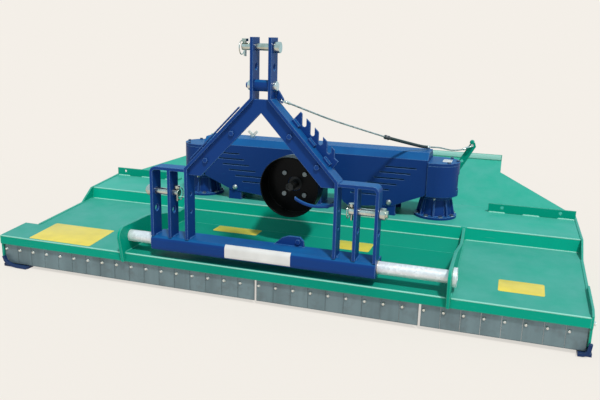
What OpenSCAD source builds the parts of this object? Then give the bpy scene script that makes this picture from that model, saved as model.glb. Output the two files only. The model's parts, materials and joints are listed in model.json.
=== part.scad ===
// Twin-rotor mulching mower with an offset three-point headstock.
// Millimetres. X across the machine, Y to the rear, Z up, ground at Z = 0.
// Distances in Y are measured from the plane of the hanging flaps; placed() moves the whole
// machine so that the origin is under the middle of its bounding box.

/* [Deck] */
// width over the front skirt
deck_w = 2410; // [2300:10:2600]
// height of the skirt's lower edge above ground
skirt_z = 104; // [95:1:120]
// height of the front skirt
skirt_h = 38; // [25:1:50]
// depth of the wings from skirt to step
wing_d = 569; // [520:1:620]
// height of the wings at the step
wing_top = 190; // [175:1:205]
// height of the level upper deck
deck_z = 243; // [236:1:255]
// depth of the level upper deck
deck_d = 402; // [380:1:420]
// depth of the rising hood
hood_d = 371; // [340:1:400]
// rise of the hood
hood_rise = 165; // [120:1:200]
// height of the flange on the rear edge
flange_h = 32; // [15:1:50]
// width of the hood at its rear edge
rear_w = 1680; // [1500:10:1800]
// sheet thickness
sheet_t = 5; // [3:0.5:6]
// thickness of the end plates
plate_t = 8; // [6:1:10]
// width of the left ear outside the end plate
ear_w = 71; // [60:1:75]

/* [Flap curtain] */
// pitch of the flaps
flap_p = 69.8; // [68:0.1:70]
// width of one flap
flap_w = 69; // [60:0.5:69]
// thickness of one flap
flap_t = 4; // [3:0.5:6]
// extra gap at the two rod hangers
slit = 8; // [5:0.5:9]
// height of the flap tips above ground
flap_z = 15; // [14:1:30]
// diameter of the flap rod
rod_d = 10; // [8:0.5:11]

/* [Rotors] */
// gap between the circles that the two rotors sweep
rotor_mid = 66; // [50:1:80]
// sum of the gaps between the swept circles and the end plates
rotor_side = 77; // [60:1:110]
// length of a blade from its pivot to its tip
blade_l = 195; // [165:1:245]
// width of the blade bar
bar_w = 110; // [90:1:130]
// blade width
blade_w = 80; // [60:1:90]
// blade thickness
blade_t = 10; // [8:1:12]
// rotor shaft diameter
shaft_d = 40; // [35:1:45]

/* [Drive] */
// radius of the drive pulley
drive_r = 72; // [66:1:76]
// radius of the rotor pulleys
driven_r = 58; // [50:1:62]
// width of one belt
belt_w = 11; // [9:0.5:12]
// teeth on the input bevel gear
teeth_in = 22; // [18:1:26]
// teeth on the upright bevel pinion
teeth_out = 15; // [12:1:17]
// height of the power take-off shaft
pto_z = 398; // [390:1:402]
// outer diameter of the power take-off bell
bell_d = 258; // [200:1:270]
// depth of the power take-off bell
bell_h = 85; // [60:1:95]

/* [Headstock] */
// sideways position of the headstock and the drive
hx = 9.5; // [0:0.5:20]
// spread of the lower hitch points
hitch_w = 823; // [683:1:870]
// gap between the plates of a lower hitch point
hitch_gap = 65; // [58:1:70]
// height of the lower hitch points
hitch_z = 413; // [390:1:440]
// mast height above the lower hitch points
mast_h = 568; // [540:1:590]
// gap of the top clevis
clevis_gap = 58; // [52:1:66]
// thickness of the hitch bars
bar_t = 12; // [10:1:15]
// depth of the hitch bars
bar_d = 65; // [50:1:80]
// diameter of the lower hitch pins
pin_d = 28; // [22:0.1:32]
// diameter of the top pin
top_d = 25.4; // [19:0.1:28]
// outer diameter of the offset tube
tube_d = 48.3; // [42.4:0.1:49]

/* [Hidden] */
$fn = 64;

// deck lines in the side view
skirt_y = -14;
skirt_top = skirt_z + skirt_h;
step_y = skirt_y + wing_d;
step_run = 12;
crease_y = step_y + step_run + deck_d;
back_y = crease_y + hood_d + sheet_t;
hood_k = hood_rise / hood_d;
wing_k = (wing_top - skirt_top) / wing_d;
pan_y = step_y - 55;
pan_k = (wing_top - skirt_top) / (step_y - pan_y);
ear_d = 150;
right_ear_d = 200;
ear_up = 18;
wall_z = 150;
proud = 3;
x_out = deck_w / 2;
x_left = -x_out + ear_w + plate_t;
x_right = x_out - plate_t;
x_flare = -x_out + plate_t;
corner_k = 0.788;
corner_y = back_y - 98;
left_corner_y = corner_y - 25;
function right_cut(x) = corner_y - corner_k * (x - hx - rear_w / 2);
function left_cut(x) = left_corner_y + corner_k * (x - hx + rear_w / 2);
sole_t = 12;
angle_y = crease_y - 89;
lug_y = crease_y - 24;
lug_hole = [713, 540];

// offset tube between the gussets
gus_t = 12;
tube_x0 = -577;
tube_x1 = 724;
tube_y = 36;
tube_z = 203;
spigot_d = 40;
end_gap = 0.5;
gus_r = 40;
gus_y = -5;
gus_top = 253;
gus_tab = 0.93;
front_y = gus_y - gus_r;
origin_y = (front_y + back_y) / 2;

// flap curtain
rod_z = 118;
eye_d = rod_d + 6;
flap_side = 2;
flap_n = floor((deck_w - 2 * (slit + plate_t + flap_side) + flap_p - flap_w) / flap_p);
flap_x1 = -(flap_n * flap_p - flap_p + flap_w + 2 * slit) / 2;
bolt_dx = 10;
bolt_z = 79;
bolt_d = 8;
bolt_hole = bolt_d + 0.6;
bank_1 = round(flap_n / 2);
bank_2 = round(flap_n * 0.765);
banks = [[0, bank_1 - 1], [bank_1, bank_2 - 1], [bank_2, flap_n - 1]];
function flap_x(i) = flap_x1 + i * flap_p + (i < bank_1 ? 0 : slit) + (i < bank_2 ? 0 : slit);

// rotors and drive
axis_y = 718;
rotor_r = (deck_w - ear_w - 2 * plate_t - rotor_side - rotor_mid) / 4;
rotor_gap = 2 * rotor_r + rotor_mid;
pivot_r = rotor_r - blade_l;
rx = [hx - rotor_gap / 2, hx + rotor_gap / 2];
hub_d = 190;
hub_top_d = 142;
hub_h = 97;
hub_bore = 80;
shaft_hole = 60;
bear_w = 22;
guard_r = 94;
guard_t = 4;
guard_z0 = deck_z + hub_h + 6;
guard_z1 = 485;
lid_t = 13;
run_fit = 0.05;
bar_z = 98;
bar_th = 16;
blade_gap = 1.5;
blade_z = bar_z - blade_gap - blade_t;
pivot_d = 24;
level = [457, 471];
cover_in = 37;
cover_hw = rotor_gap / 2 - cover_in;
cover_t = 3;
cover_y0 = axis_y - 87;
cover_y1 = axis_y + 87;
cover_top = 537;
cover_ch = 30;
louvre_in = [50, 74, 100, 133, 167, 204];
louvre_l = 137;
knob_x = 221 - cover_hw;
foot_x = cover_hw - 164;
foot_t = 6;
up_d = 25;
in_d = 35;
gear_m = 3.6;
gear_r = gear_m * teeth_in / 2;
pin_r = gear_m * teeth_out / 2;
face_w = 20;
in_y = axis_y - pin_r;
case_hw = 62;
case_y0 = axis_y - 66;
case_y1 = axis_y + 52;
case_z0 = pto_z - gear_r - 38;
case_z1 = 452;
bell_y = 335;
bell_t = 4;
tube_in_y = bell_y + bell_h;

// headstock, measured from hx in X
out0 = hitch_w / 2 + hitch_gap / 2;
out1 = out0 + bar_t;
mid1 = hitch_w / 2 - hitch_gap / 2;
mid0 = mid1 - bar_t;
leg_gap = 68;
leg_x = mid0 - leg_gap;
leg_z = 518;
mast_dx = 5.5;
function top_x(s) = mast_dx + s * (clevis_gap + bar_t) / 2;
top_z = hitch_z + mast_h;
top_bend = top_z - 184;
top_end = top_z + 34;
bar_y = -20;
beam_w = 120;
beam_h = 60;
beam_t = 5;
beam_z0 = tube_z - beam_h / 2;
beam_z1 = tube_z + beam_h / 2;
strap_z = 516;
bend_r = 25;
pin_y = 12;
pin_fit = 0.3;
low_hole = top_z - 69;
spacer_z = top_z - 136;
spacer_d = 20;
function leg_k(s) = (top_x(s) - s * leg_x) / (top_bend - leg_z);
function leg_at(s, z) = s * leg_x + (z - leg_z) * leg_k(s);
function leg_half(s) = bar_t / 2 * sqrt(1 + leg_k(s) * leg_k(s));
function leg_in(s, z) = leg_at(s, z) - s * leg_half(s);
function leg_out(s, z) = leg_at(s, z) + s * leg_half(s);
function bend_z(s, z) = z - (leg_half(s) - bar_t / 2) / abs(leg_k(s));
web_y = bar_y + 14;
web_t = 8;
web_w = 75;
web_bolts = [for (b = [[-1, 666, 36], [-1, 556, 35], [1, 669, 35], [1, 566, 24]])
  [leg_in(b[0], b[1]) - b[0] * b[2], b[1]]];
lock_x = 135;
lock_z = beam_z1 + 20;
lock_y = 66;
link_d = 10;
link_x = mid0 - 14;
top_link = top_x(-1) - 37;
rack_y = bar_y + bar_d - 17;
comb = [[158.5, 703], [190.5, 672], [222.5, 642], [255.5, 612]];
comb_w = 16.5;
hook_r = 160;
eye_y = bar_y + bar_d - 12;
eye = [top_x(1) + bar_t / 2 + 20, top_bend - 3];
bush_d = 58;

// route of the hold-up cable: place and radius at each point
joint = [375, 513, 616];
joint_gap = [1.73, 2.76, -0.95];
upper_path = [[hx + eye[0], eye_y + 4, eye[1], 3], [152, 157, 744, 3], [226, 275, 698, 3],
  [joint[0], joint[1], joint[2], 3]];
rear_path = [[for (v = joint + joint_gap) v, 9], [joint[0] + 12, joint[1] + 18, joint[2] - 6, 7],
  [455, 636, 578, 7], [505, 710, 556, 7], [536, 760, cover_top + 9, 7],
  [540, 767, cover_top + 9, 3.5], [575, 822, 538, 3.5], [625, 888, 520, 3.5],
  [672, 928, 521, 3.5], [lug_hole[0], lug_y - 4, lug_hole[1], 3.5]];

// paint
green = [0.02, 0.55, 0.42];
blue = [0.10, 0.24, 0.55];
zinc = [0.75, 0.75, 0.72];
steel = [0.55, 0.57, 0.60];
black = [0.06, 0.06, 0.07];

function wing_z(y) = skirt_top + (y - skirt_y) * wing_k;
function wing_u(y) = wing_z(y) - sheet_t * sqrt(1 + wing_k * wing_k);
function hood_u(y) = deck_z + (y - crease_y) * hood_k - sheet_t * sqrt(1 + hood_k * hood_k);

module placed() translate([0, -origin_y, 0]) children();
module yz(x, t) translate([x, 0, 0]) rotate([90, 0, 90]) linear_extrude(t) children();
module xz(y, t) translate([0, y + t, 0]) rotate([90, 0, 0]) linear_extrude(t) children();
module xy(z, t) translate([0, 0, z]) linear_extrude(t) children();
module rodx(x, l, d, n = 64) translate([x, 0, 0]) rotate([0, 90, 0]) cylinder(h = l, d = d, $fn = n);
module rody(y, l, d, n = 64) translate([0, y, 0]) rotate([-90, 0, 0]) cylinder(h = l, d = d, $fn = n);
module rodz(z, l, d, n = 64) translate([0, 0, z]) cylinder(h = l, d = d, $fn = n);
module hs() translate([hx, 0, 0]) children();

function unit(v) = v / norm(v);

// line beside the path p at the distance o, with mitred bends
function beside(p, o) = [for (i = [0 : len(p) - 1])
  let(j = max(i, 1), k = min(i, len(p) - 2), a = unit(p[j] - p[j - 1]), b = unit(p[k + 1] - p[k]),
    m = unit([-a[1] - b[1], a[0] + b[0]])) p[i] + o * m / (m * [-a[1], a[0]])];

// flat bar of thickness t bent along a path
module bar2d(p, t) polygon(concat(beside(p, t / 2),
  let(b = beside(p, -t / 2)) [for (i = [len(b) - 1 : -1 : 0]) b[i]]));

module rounded(w, h, r) {
  square([w - 2 * r, h], center = true);
  square([w, h - 2 * r], center = true);
  for (x = [-1, 1], y = [-1, 1]) translate([x * (w / 2 - r), y * (h / 2 - r)]) circle(r = r);
}

// plan of the upper deck, drawn in by o at the cut corners and the rear
function plan(o) = let(c = o * sqrt(1 + corner_k * corner_k)) [[x_left, step_y],
  [x_right, step_y], [x_right, right_cut(x_right) - c],
  [hx + rear_w / 2 - o, right_cut(hx + rear_w / 2 - o) - c], [hx + rear_w / 2 - o, back_y - o],
  [hx - rear_w / 2 + o, back_y - o], [hx - rear_w / 2 + o, left_cut(hx - rear_w / 2 + o) - c],
  [x_flare, left_cut(x_flare) - c]];

module wing_profile() polygon([[skirt_y, skirt_z], [skirt_y, skirt_top], [step_y, wing_top],
  [step_y, wing_u(step_y)], [skirt_y + sheet_t, wing_u(skirt_y + sheet_t)],
  [skirt_y + sheet_t, skirt_z]]);

module left_wing() placed() color(green) difference() {
  yz(-x_out, tube_x0 - gus_t + x_out) wing_profile();
  translate([-x_out - 1, ear_d, 0]) cube([x_left + x_out + 1, wing_d, 400]);
}

module right_wing() placed() color(green)
  yz(tube_x1 + gus_t, x_right - tube_x1 - gus_t) wing_profile();

module centre_pan() placed() color(green) yz(tube_x0, tube_x1 - tube_x0)
  polygon([[skirt_y, skirt_z], [skirt_y, skirt_top], [pan_y, skirt_top], [step_y, wing_top],
    [step_y, wing_top - sheet_t * sqrt(1 + pan_k * pan_k)],
    [pan_y + sheet_t * (sqrt(1 + pan_k * pan_k) - 1) / pan_k, skirt_top - sheet_t],
    [skirt_y + sheet_t, skirt_top - sheet_t], [skirt_y + sheet_t, skirt_z]]);

module top_deck() placed() color(green) difference() {
  intersection() {
    yz(x_flare, x_right - x_flare) polygon([[step_y, wing_top], [step_y + step_run, deck_z],
      [crease_y, deck_z], [back_y - sheet_t, deck_z + hood_rise],
      [back_y - sheet_t, deck_z + hood_rise + flange_h], [back_y, deck_z + hood_rise + flange_h],
      [back_y, hood_u(back_y)],
      [crease_y + sheet_t * (sqrt(1 + hood_k * hood_k) - 1) / hood_k, deck_z - sheet_t],
      [step_y + step_run + sheet_t, deck_z - sheet_t], [step_y + sheet_t, wing_top - sheet_t],
      [step_y, wing_top - sheet_t]]);
    xy(0, 600) polygon(plan(0));
  }
  for (x = rx) translate([x, axis_y, deck_z - 50]) cylinder(h = 100, d = shaft_hole);
}

module rear_wall() placed() color(green) difference() {
  xy(wall_z, 300) difference() {
    polygon(plan(0));
    polygon(plan(sheet_t));
    translate([x_flare - 1, step_y - 1]) square([x_right - x_flare + 2, left_cut(x_flare) - 20 - step_y]);
  }
  yz(x_flare - 1, x_right - x_flare + 2) polygon([[step_y - 9, deck_z - sheet_t],
    [crease_y + sheet_t * (sqrt(1 + hood_k * hood_k) - 1) / hood_k, deck_z - sheet_t],
    [back_y + 9, hood_u(back_y + 9)], [back_y + 9, 700], [step_y - 9, 700]]);
}

module end_profile(y0, nose, ed, ys, y1) polygon([[y0, nose], [y0, wing_u(y0)], [ed, wing_u(ed)],
  [ed, wing_z(ed) + proud], [step_y - 85, wing_z(step_y - 85) + proud],
  [ys, deck_z + proud], [y1, deck_z + proud], [y1, sole_t], [y0 + 50, sole_t]]);

// the left end plate sits inside the ear and flares out behind the step
module left_end_plate() placed() color(green) difference() {
  union() {
    yz(x_left - plate_t, plate_t) end_profile(ear_d - 40, sole_t + 30, ear_d, step_y - 3, step_y);
    xy(sole_t, deck_z + proud - sole_t) polygon([[x_left, step_y], [x_flare, left_cut(x_flare)],
      [x_flare - plate_t, left_cut(x_flare)], [x_left - plate_t, step_y]]);
    yz(-x_out, plate_t) polygon([[skirt_y + sheet_t, sole_t + 30],
      [skirt_y + sheet_t, wing_u(skirt_y + sheet_t)], [ear_d, wing_u(ear_d)], [ear_d, sole_t],
      [skirt_y + 55, sole_t]]);
    yz(-x_out + plate_t, ear_w - plate_t) polygon([[ear_d - plate_t, sole_t],
      [ear_d - plate_t, wing_u(ear_d - plate_t)], [ear_d, wing_u(ear_d)], [ear_d, sole_t]]);
  }
  translate([0, 0, rod_z]) rodx(-x_out - 1, plate_t + 2, rod_d + 0.2);
}

module right_end_plate() placed() color(green) difference() {
  yz(x_right, plate_t) {
    end_profile(skirt_y + sheet_t, sole_t + 30, right_ear_d, step_y + 5, right_cut(x_right));
    polygon([[skirt_y, skirt_z], [skirt_y, wing_z(skirt_y) + ear_up / 3],
      [skirt_y + 30, wing_z(skirt_y + 30) + ear_up], [right_ear_d, wing_z(right_ear_d) + ear_up],
      [right_ear_d, skirt_z]]);
  }
  translate([0, 0, rod_z]) rodx(x_right - 1, plate_t + 2, rod_d + 0.2);
}

// flat runners, each with its nose curled up in front of the flaps
module skid(x0, w, s) {
  e = s < 0 ? x0 : x0 + w;
  translate([x0, skirt_y + 4, 0]) cube([w, left_cut(x_flare) - skirt_y - 4, sole_t]);
  xz(skirt_y - 8, 13) bar2d([for (v = [[1, 8], [0.56, 8.5], [0.33, 12], [0.17, 19],
    [0.06, 30], [0, 50]]) [e - s * (8 + (w - 8) * v[0]), v[1]]], 12);
}
module skids() placed() color(blue) {
  skid(-x_out + 6, 124, -1);
  skid(x_out - 38, 46, 1);
}

module gusset(x) difference() {
  yz(x, gus_t) {
    polygon([[skirt_y - 9, skirt_z], [skirt_y + sheet_t, skirt_z],
      [skirt_y + sheet_t, skirt_top - sheet_t], [pan_y, skirt_top - sheet_t],
      [step_y, wing_top - sheet_t * 1.4], [step_y, wing_top],
      [step_y + step_run * gus_tab, wing_top + (deck_z - wing_top) * gus_tab],
      [step_y - 38, wing_z(step_y - 38) + 18], [pan_y - 40, wing_z(pan_y - 40) + 17],
      [180, gus_top], [gus_y, gus_top], [front_y, gus_top - gus_r]]);
    translate([gus_y, gus_top - gus_r]) circle(r = gus_r);
  }
  translate([0, tube_y, tube_z]) rodx(x - 1, gus_t + 2, spigot_d + 2 * run_fit);
}
module gussets() placed() color(green) {
  gusset(tube_x0 - gus_t);
  gusset(tube_x1);
}

// angle bars with two holes each
module angle(x0, l, h) translate([x0, angle_y, deck_z]) difference() {
  union() {
    cube([l, 50, 6]);
    cube([l, 6, 42]);
  }
  for (x = h) translate([x, 0, 26]) rody(-4, 14, 14);
}
module rear_angles() placed() color(green) {
  angle(x_right - 382, 382, [62, 317]);
  angle(x_flare + 12, 370, [48, 308]);
}

// inclined bar that holds the rear end of the cable
module rear_lug() placed() color(green) difference() {
  xz(lug_y, 8) polygon([[534, deck_z], [569, deck_z], [686, 452], [731, 534], [726, 552],
    [711, 561], [698, 538]]);
  translate([lug_hole[0], 0, lug_hole[1]]) rody(lug_y - 1, 10, 13);
  translate([672, 0, 464]) rody(lug_y - 1, 10, 13);
}

// rod that carries the flaps, its nuts and the two hangers under the pan
module flap_rod() placed() color(steel) {
  translate([0, 0, rod_z]) rodx(-x_out - 8, deck_w + 16, rod_d);
  for (x = [-x_out - 6, x_out]) translate([0, 0, rod_z]) rodx(x, 6, 18, 6);
  for (i = [bank_1, bank_2]) difference() {
    translate([flap_x(i) - slit / 2 - (flap_p - flap_w) / 2 - 2.5, skirt_y + sheet_t, rod_z - 12])
      cube([5, 20, skirt_top - sheet_t - rod_z + 12]);
    translate([0, 0, rod_z]) rodx(-x_out, deck_w, rod_d);
  }
}

module flap() difference() {
  union() {
    translate([0, -flap_t / 2, flap_z]) cube([flap_w, flap_t, rod_z - flap_z]);
    translate([0, 0, rod_z]) rodx(0, flap_w, eye_d, 32);
  }
  translate([0, 0, rod_z]) rodx(-1, flap_w + 2, rod_d + 2 * run_fit);
  translate([bolt_dx, 0, bolt_z]) rody(-flap_t, 2 * flap_t, bolt_hole, 24);
}
module bank(b) placed() color(steel) for (i = [b[0] : b[1]]) translate([flap_x(i), 0, 0]) flap();
module left_flaps() bank(banks[0]);
module centre_flaps() bank(banks[1]);
module right_flaps() bank(banks[2]);

module flap_bolt() translate([bolt_dx, 0, bolt_z]) {
  translate([0, -flap_t / 2, 0]) rotate([90, 0, 0]) cylinder(h = 5, d1 = 15, d2 = 9, $fn = 24);
  rody(-flap_t / 2, flap_t + 8, bolt_d, 24);
  rody(flap_t / 2, 6, 15, 6);
}
module bank_bolts(b) placed() color(zinc)
  for (i = [b[0] : b[1]]) translate([flap_x(i), 0, 0]) flap_bolt();
module left_flap_bolts() bank_bolts(banks[0]);
module centre_flap_bolts() bank_bolts(banks[1]);
module right_flap_bolts() bank_bolts(banks[2]);

// ribbed bearing housing
module hub() difference() {
  union() {
    rotate_extrude() polygon([[hub_bore / 2, 0], [hub_d / 2, 0], [hub_d / 2, 12],
      [hub_d / 2 - 26, 12], [hub_top_d / 2 - 12, hub_h - 10], [hub_top_d / 2, hub_h - 10],
      [hub_top_d / 2, hub_h], [hub_bore / 2, hub_h]]);
    for (a = [0 : 45 : 315]) rotate(a) translate([0, 3, 0]) rotate([90, 0, 0]) linear_extrude(6)
      polygon([[hub_bore / 2 + 1, 5], [hub_d / 2 - 8, 12], [hub_top_d / 2 - 1, hub_h - 10],
        [hub_bore / 2 + 1, hub_h - 5]]);
  }
  for (a = [22.5 : 45 : 360]) rotate(a) translate([hub_d / 2 - 12, 0, -1]) cylinder(h = 20, d = 11);
}
module hubs() placed() color(blue) for (x = rx) translate([x, axis_y, deck_z]) hub();

// screws of the hub flanges, the bell flange and the lids
module flange_bolts() placed() color(zinc) {
  for (x = rx) translate([x, axis_y, deck_z]) for (a = [22.5 : 45 : 360]) rotate(a)
    translate([hub_d / 2 - 12, 0, 0]) {
      rodz(0, 12, 10, 24);
      rodz(12, 7, 18, 6);
    }
  hs() translate([0, 0, pto_z]) for (a = [45 : 90 : 315]) rotate([0, a, 0]) translate([65, 0, 0]) {
    rody(tube_in_y - bell_t - 8, 8, 20, 24);
    rody(tube_in_y - bell_t, bell_t + 12, 10, 24);
    rody(tube_in_y + 12, 8, 17, 6);
  }
  for (s = [-1, 1]) translate([hx + s * rotor_gap / 2, axis_y, guard_z1 + lid_t])
    for (a = [-52, 0, 52]) rotate(a + (s < 0 ? 180 : 0)) translate([guard_r - 10, 0, 0]) {
      rodz(0, 6, 15, 6);
      rodz(-lid_t - 16, lid_t + 16, 8, 24);
    }
}

// half-round end of the belt case, open towards the cover
module u2d(r, s) {
  circle(r = r);
  translate([s < 0 ? 0 : cover_hw - rotor_gap / 2, -r]) square([rotor_gap / 2 - cover_hw, 2 * r]);
}
module guard(s) translate([hx + s * rotor_gap / 2, axis_y, 0]) difference() {
  union() {
    xy(guard_z0, guard_z1 - guard_z0) difference() {
      u2d(guard_r, s);
      u2d(guard_r - guard_t, s);
    }
    xy(guard_z0, guard_t) u2d(guard_r, s);
    rodz(deck_z + hub_h, guard_z0 - deck_z - hub_h, hub_top_d);
    for (a = [-52, 0, 52]) rotate(a + (s < 0 ? 180 : 0))
      translate([guard_r - 10, 0, guard_z1 - 30]) cylinder(h = 30, d = 16, $fn = 32);
  }
  translate([s < 0 ? rotor_gap / 2 - cover_hw : -200 - rotor_gap / 2 + cover_hw, -150, 0])
    cube([200, 300, 600]);
  rodz(deck_z, 200, shaft_hole);
  translate([s * guard_r, 0, guard_z0 + 62]) cube([30, 62, 70], center = true);
  for (a = [-52, 0, 52]) rotate(a + (s < 0 ? 180 : 0))
    translate([guard_r - 10, 0, guard_z1 - 20]) cylinder(h = 21, d = 8.6, $fn = 24);
}
module belt_guards() placed() color(blue) {
  guard(-1);
  guard(1);
}

module guard_lids() placed() color(blue) for (s = [-1, 1])
  translate([hx + s * rotor_gap / 2, axis_y, 0]) difference() {
    intersection() {
      xy(guard_z1, lid_t) u2d(guard_r, s);
      translate([s < 0 ? -200 : -rotor_gap / 2 + cover_hw, -150, 0])
        cube([200 + rotor_gap / 2 - cover_hw, 300, 600]);
    }
    for (a = [-52, 0, 52]) rotate(a + (s < 0 ? 180 : 0))
      translate([guard_r - 10, 0, guard_z1 - 1]) cylinder(h = lid_t + 2, d = 8.6, $fn = 24);
  }

// belt cover: folded shell with louvres, slanted lower corners and a mouth for the input tube
function cover_low() = [[cover_hw, 367], [cover_hw - 6, 348], [cover_hw - 145, 289], [194, 269],
  [168, 284], [120, 348], [-120, 348], [-168, 284], [-194, 269], [145 - cover_hw, 289],
  [6 - cover_hw, 348], [-cover_hw, 367]];
module cover_side(o) polygon([[cover_y0 + o, 0], [cover_y0 + o, cover_top - cover_ch - o * 0.4],
  [cover_y0 + cover_ch + o * 0.4, cover_top - o], [cover_y1 - cover_ch - o * 0.4, cover_top - o],
  [cover_y1 - o, cover_top - cover_ch - o * 0.4], [cover_y1 - o, 0]]);
module belt_cover() placed() hs() color(blue) difference() {
  union() {
    difference() {
      yz(-cover_hw, 2 * cover_hw) cover_side(0);
      yz(-cover_hw - 1, 2 * cover_hw + 2) cover_side(cover_t);
    }
    for (s = [-1, 1]) yz(s < 0 ? -cover_hw : cover_hw - cover_t, cover_t) difference() {
      cover_side(0);
      translate([cover_y0 + 14, 0]) square([cover_y1 - cover_y0 - 28, 497]);
    }
  }
  xz(cover_y0 - 9, cover_y1 - cover_y0 + 18) polygon(concat(cover_low(),
    [[-cover_hw - 9, 367], [-cover_hw - 9, -9], [cover_hw + 9, -9], [cover_hw + 9, 367]]));
  xz(cover_y0 - 9, 20) translate([-50, 300]) square([100, pto_z - 300]);
  xz(cover_y0 - 9, 20) translate([0, pto_z]) circle(r = 50);
  for (s = [-1, 1], k = [0 : 5]) xz(cover_y0 - 9, 20)
    translate([s * (cover_hw - louvre_in[k] - louvre_l / 2), 466 - 26.5 * k])
      square([louvre_l, 5], center = true);
  for (s = [-1, 1]) xz(cover_y0 - 9, 20) translate([s * foot_x, 302]) circle(d = 13);
  translate([knob_x, axis_y, 500]) cylinder(h = 60, d = 13);
}

module cover_feet() placed() hs() color(blue) for (s = [-1, 1]) difference() {
  union() {
    translate([s * foot_x - 32, cover_y0 + cover_t, deck_z]) cube([64, foot_t, 78]);
    translate([s * foot_x - 32, cover_y0 + cover_t, deck_z]) cube([64, 60, foot_t]);
    translate([s * foot_x - 32, cover_y1 - cover_t - foot_t, deck_z]) cube([64, foot_t, 78]);
  }
  translate([s * foot_x, 0, 302]) rody(cover_y0, 20, 13);
}

module cover_fixings() placed() hs() color(zinc) {
  for (s = [-1, 1]) translate([s * foot_x, 0, 302]) {
    translate([0, cover_y0, 0]) rotate([90, 0, 0]) cylinder(h = 8, d1 = 26, d2 = 15, $fn = 32);
    rody(cover_y0, cover_t + foot_t + 12, 12, 32);
    rody(cover_y0 + cover_t + foot_t, 9, 21, 6);
  }
  translate([knob_x, axis_y, cover_top]) {
    rodz(-24, 42, 12, 32);
    rodz(0, 12, 26, 32);
    for (s = [-1, 1]) translate([s * 13, 0, 22]) rotate([0, -s * 42, 0])
      cube([26, 6, 12], center = true);
  }
}

// gear case with the two shafts crossing at its centre
module gear_case() placed() hs() color(blue) difference() {
  union() {
    translate([-case_hw, case_y0, case_z0]) cube([2 * case_hw, case_y1 - case_y0, case_z1 - case_z0]);
    translate([-95, axis_y - 85, deck_z]) cube([190, 165, 12]);
    for (s = [-1, 1]) translate([s * 45 - 8, case_y0, deck_z + 12])
      cube([16, case_y1 - case_y0, case_z0 - deck_z - 12]);
  }
  translate([-case_hw + 9, case_y0 + 14, case_z0 + 24])
    cube([2 * case_hw - 18, case_y1 - case_y0 - 23, case_z1 - case_z0 - 33]);
  translate([0, axis_y, case_z0 + 8]) cylinder(h = 300, d = 47);
  translate([0, 0, pto_z]) rody(case_y0 - 1, 30, 62);
}

module input_tube() placed() hs() color(blue) translate([0, 0, pto_z]) difference() {
  union() {
    rody(tube_in_y, case_y0 - tube_in_y, 80);
    rody(tube_in_y, 12, 170);
  }
  rody(tube_in_y - 1, case_y0 - tube_in_y + 2, 62);
  for (a = [45 : 90 : 315]) rotate([0, a, 0]) translate([65, 0, 0]) rody(tube_in_y - 1, 20, 10.6);
}

module pto_bell() placed() hs() color(black) translate([0, 0, pto_z]) difference() {
  rody(bell_y, bell_h, bell_d, 96);
  rody(bell_y - 1, bell_h - bell_t + 1, bell_d - 2 * bell_t, 96);
  rody(bell_y, bell_h + 1, 64);
  for (a = [45 : 90 : 315]) rotate([0, a, 0]) translate([65, 0, 0]) rody(bell_y, bell_h + 1, 10.6);
}

module ring(od, id, h) difference() {
  cylinder(h = h, d = od);
  translate([0, 0, -1]) cylinder(h = h + 2, d = id);
}

module bearings() placed() color(steel) {
  hs() translate([0, axis_y, case_z0 + 8]) ring(47, up_d + 2 * run_fit, 15);
  hs() translate([0, axis_y, case_z1 - 12]) ring(47, up_d + 2 * run_fit, 12);
  hs() for (y = [tube_in_y + 4, case_y0 - 6])
    translate([0, y, pto_z]) rotate([-90, 0, 0]) ring(62, in_d + 2 * run_fit, 16);
  for (x = rx, z = [2, hub_h - bear_w - 2])
    translate([x, axis_y, deck_z + z]) ring(hub_bore, shaft_d + 2 * run_fit, bear_w);
}

// loop round the drive pulley at 0 and a rotor pulley at distance s * rotor_gap / 2
function loop(o, s) = let(d = rotor_gap / 2, a = acos((drive_r - driven_r) / d))
  concat([for (i = [0 : 24]) let(t = a + (360 - 2 * a) * i / 24)
      [s * (drive_r + o) * cos(t), (drive_r + o) * sin(t)]],
    [for (i = [0 : 24]) let(t = -a + 2 * a * i / 24)
      [s * (d + (driven_r + o) * cos(t)), (driven_r + o) * sin(t)]]);
module belts() placed() color(black) for (s = [-1, 1]) translate([hx, axis_y, 0])
  xy(s < 0 ? level[0] : level[1], belt_w) difference() {
    polygon(loop(6, s));
    polygon(loop(0.5, s));
  }

// bevel gear with straight teeth, axis Z, large end at z = 0, apex at z = h
module tooth_gap(r, h, n) {
  w = r * 360 / n / 57.2958 * 0.62;
  translate([r, 0, 0]) rotate([0, -atan2(r, h), 0])
    translate([0, 0, -8]) linear_extrude(face_w + 16)
      polygon([[6, w * 0.72], [-5.5, w * 0.34], [-5.5, -w * 0.34], [6, -w * 0.72]]);
}
module toothed(r, h, n, phase) {
  l = norm([r, h]);
  k = 1 - face_w / l;
  difference() {
    rotate_extrude() polygon([[0, -7], [r - 5, -7], [r + 2.6, 0], [(r + 2.6) * k, h * (1 - k)],
      [0, h * (1 - k)]]);
    for (i = [0 : n - 1]) rotate(phase + i * 360 / n) tooth_gap(r, h, n);
  }
}

module input_shaft() placed() hs() color(steel) translate([0, 0, pto_z]) {
  difference() {
    rody(bell_y + 8, in_y + 4 - bell_y - 8, in_d);
    for (a = [0 : 60 : 300]) rotate([0, a, 0]) translate([in_d / 2, bell_y + 30, 0])
      cube([5, 62, 7], center = true);
    rody(bell_y + 7, 6, in_d - 12);
    for (a = [0 : 60 : 300]) rotate([0, a + 30, 0]) translate([in_d / 2 + 1, bell_y + 22, 0])
      cube([6, 7, 30], center = true);
  }
  translate([0, in_y, 0]) rotate([-90, 0, 0]) toothed(gear_r, pin_r, teeth_in, 90);
}

module upright_shaft() placed() hs() color(steel) translate([0, axis_y, 0]) {
  rodz(case_z0 + 8, 484 - case_z0 - 8, up_d);
  translate([0, 0, pto_z - gear_r]) toothed(pin_r, gear_r, teeth_out, -90 + 180 / teeth_out);
}

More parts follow.
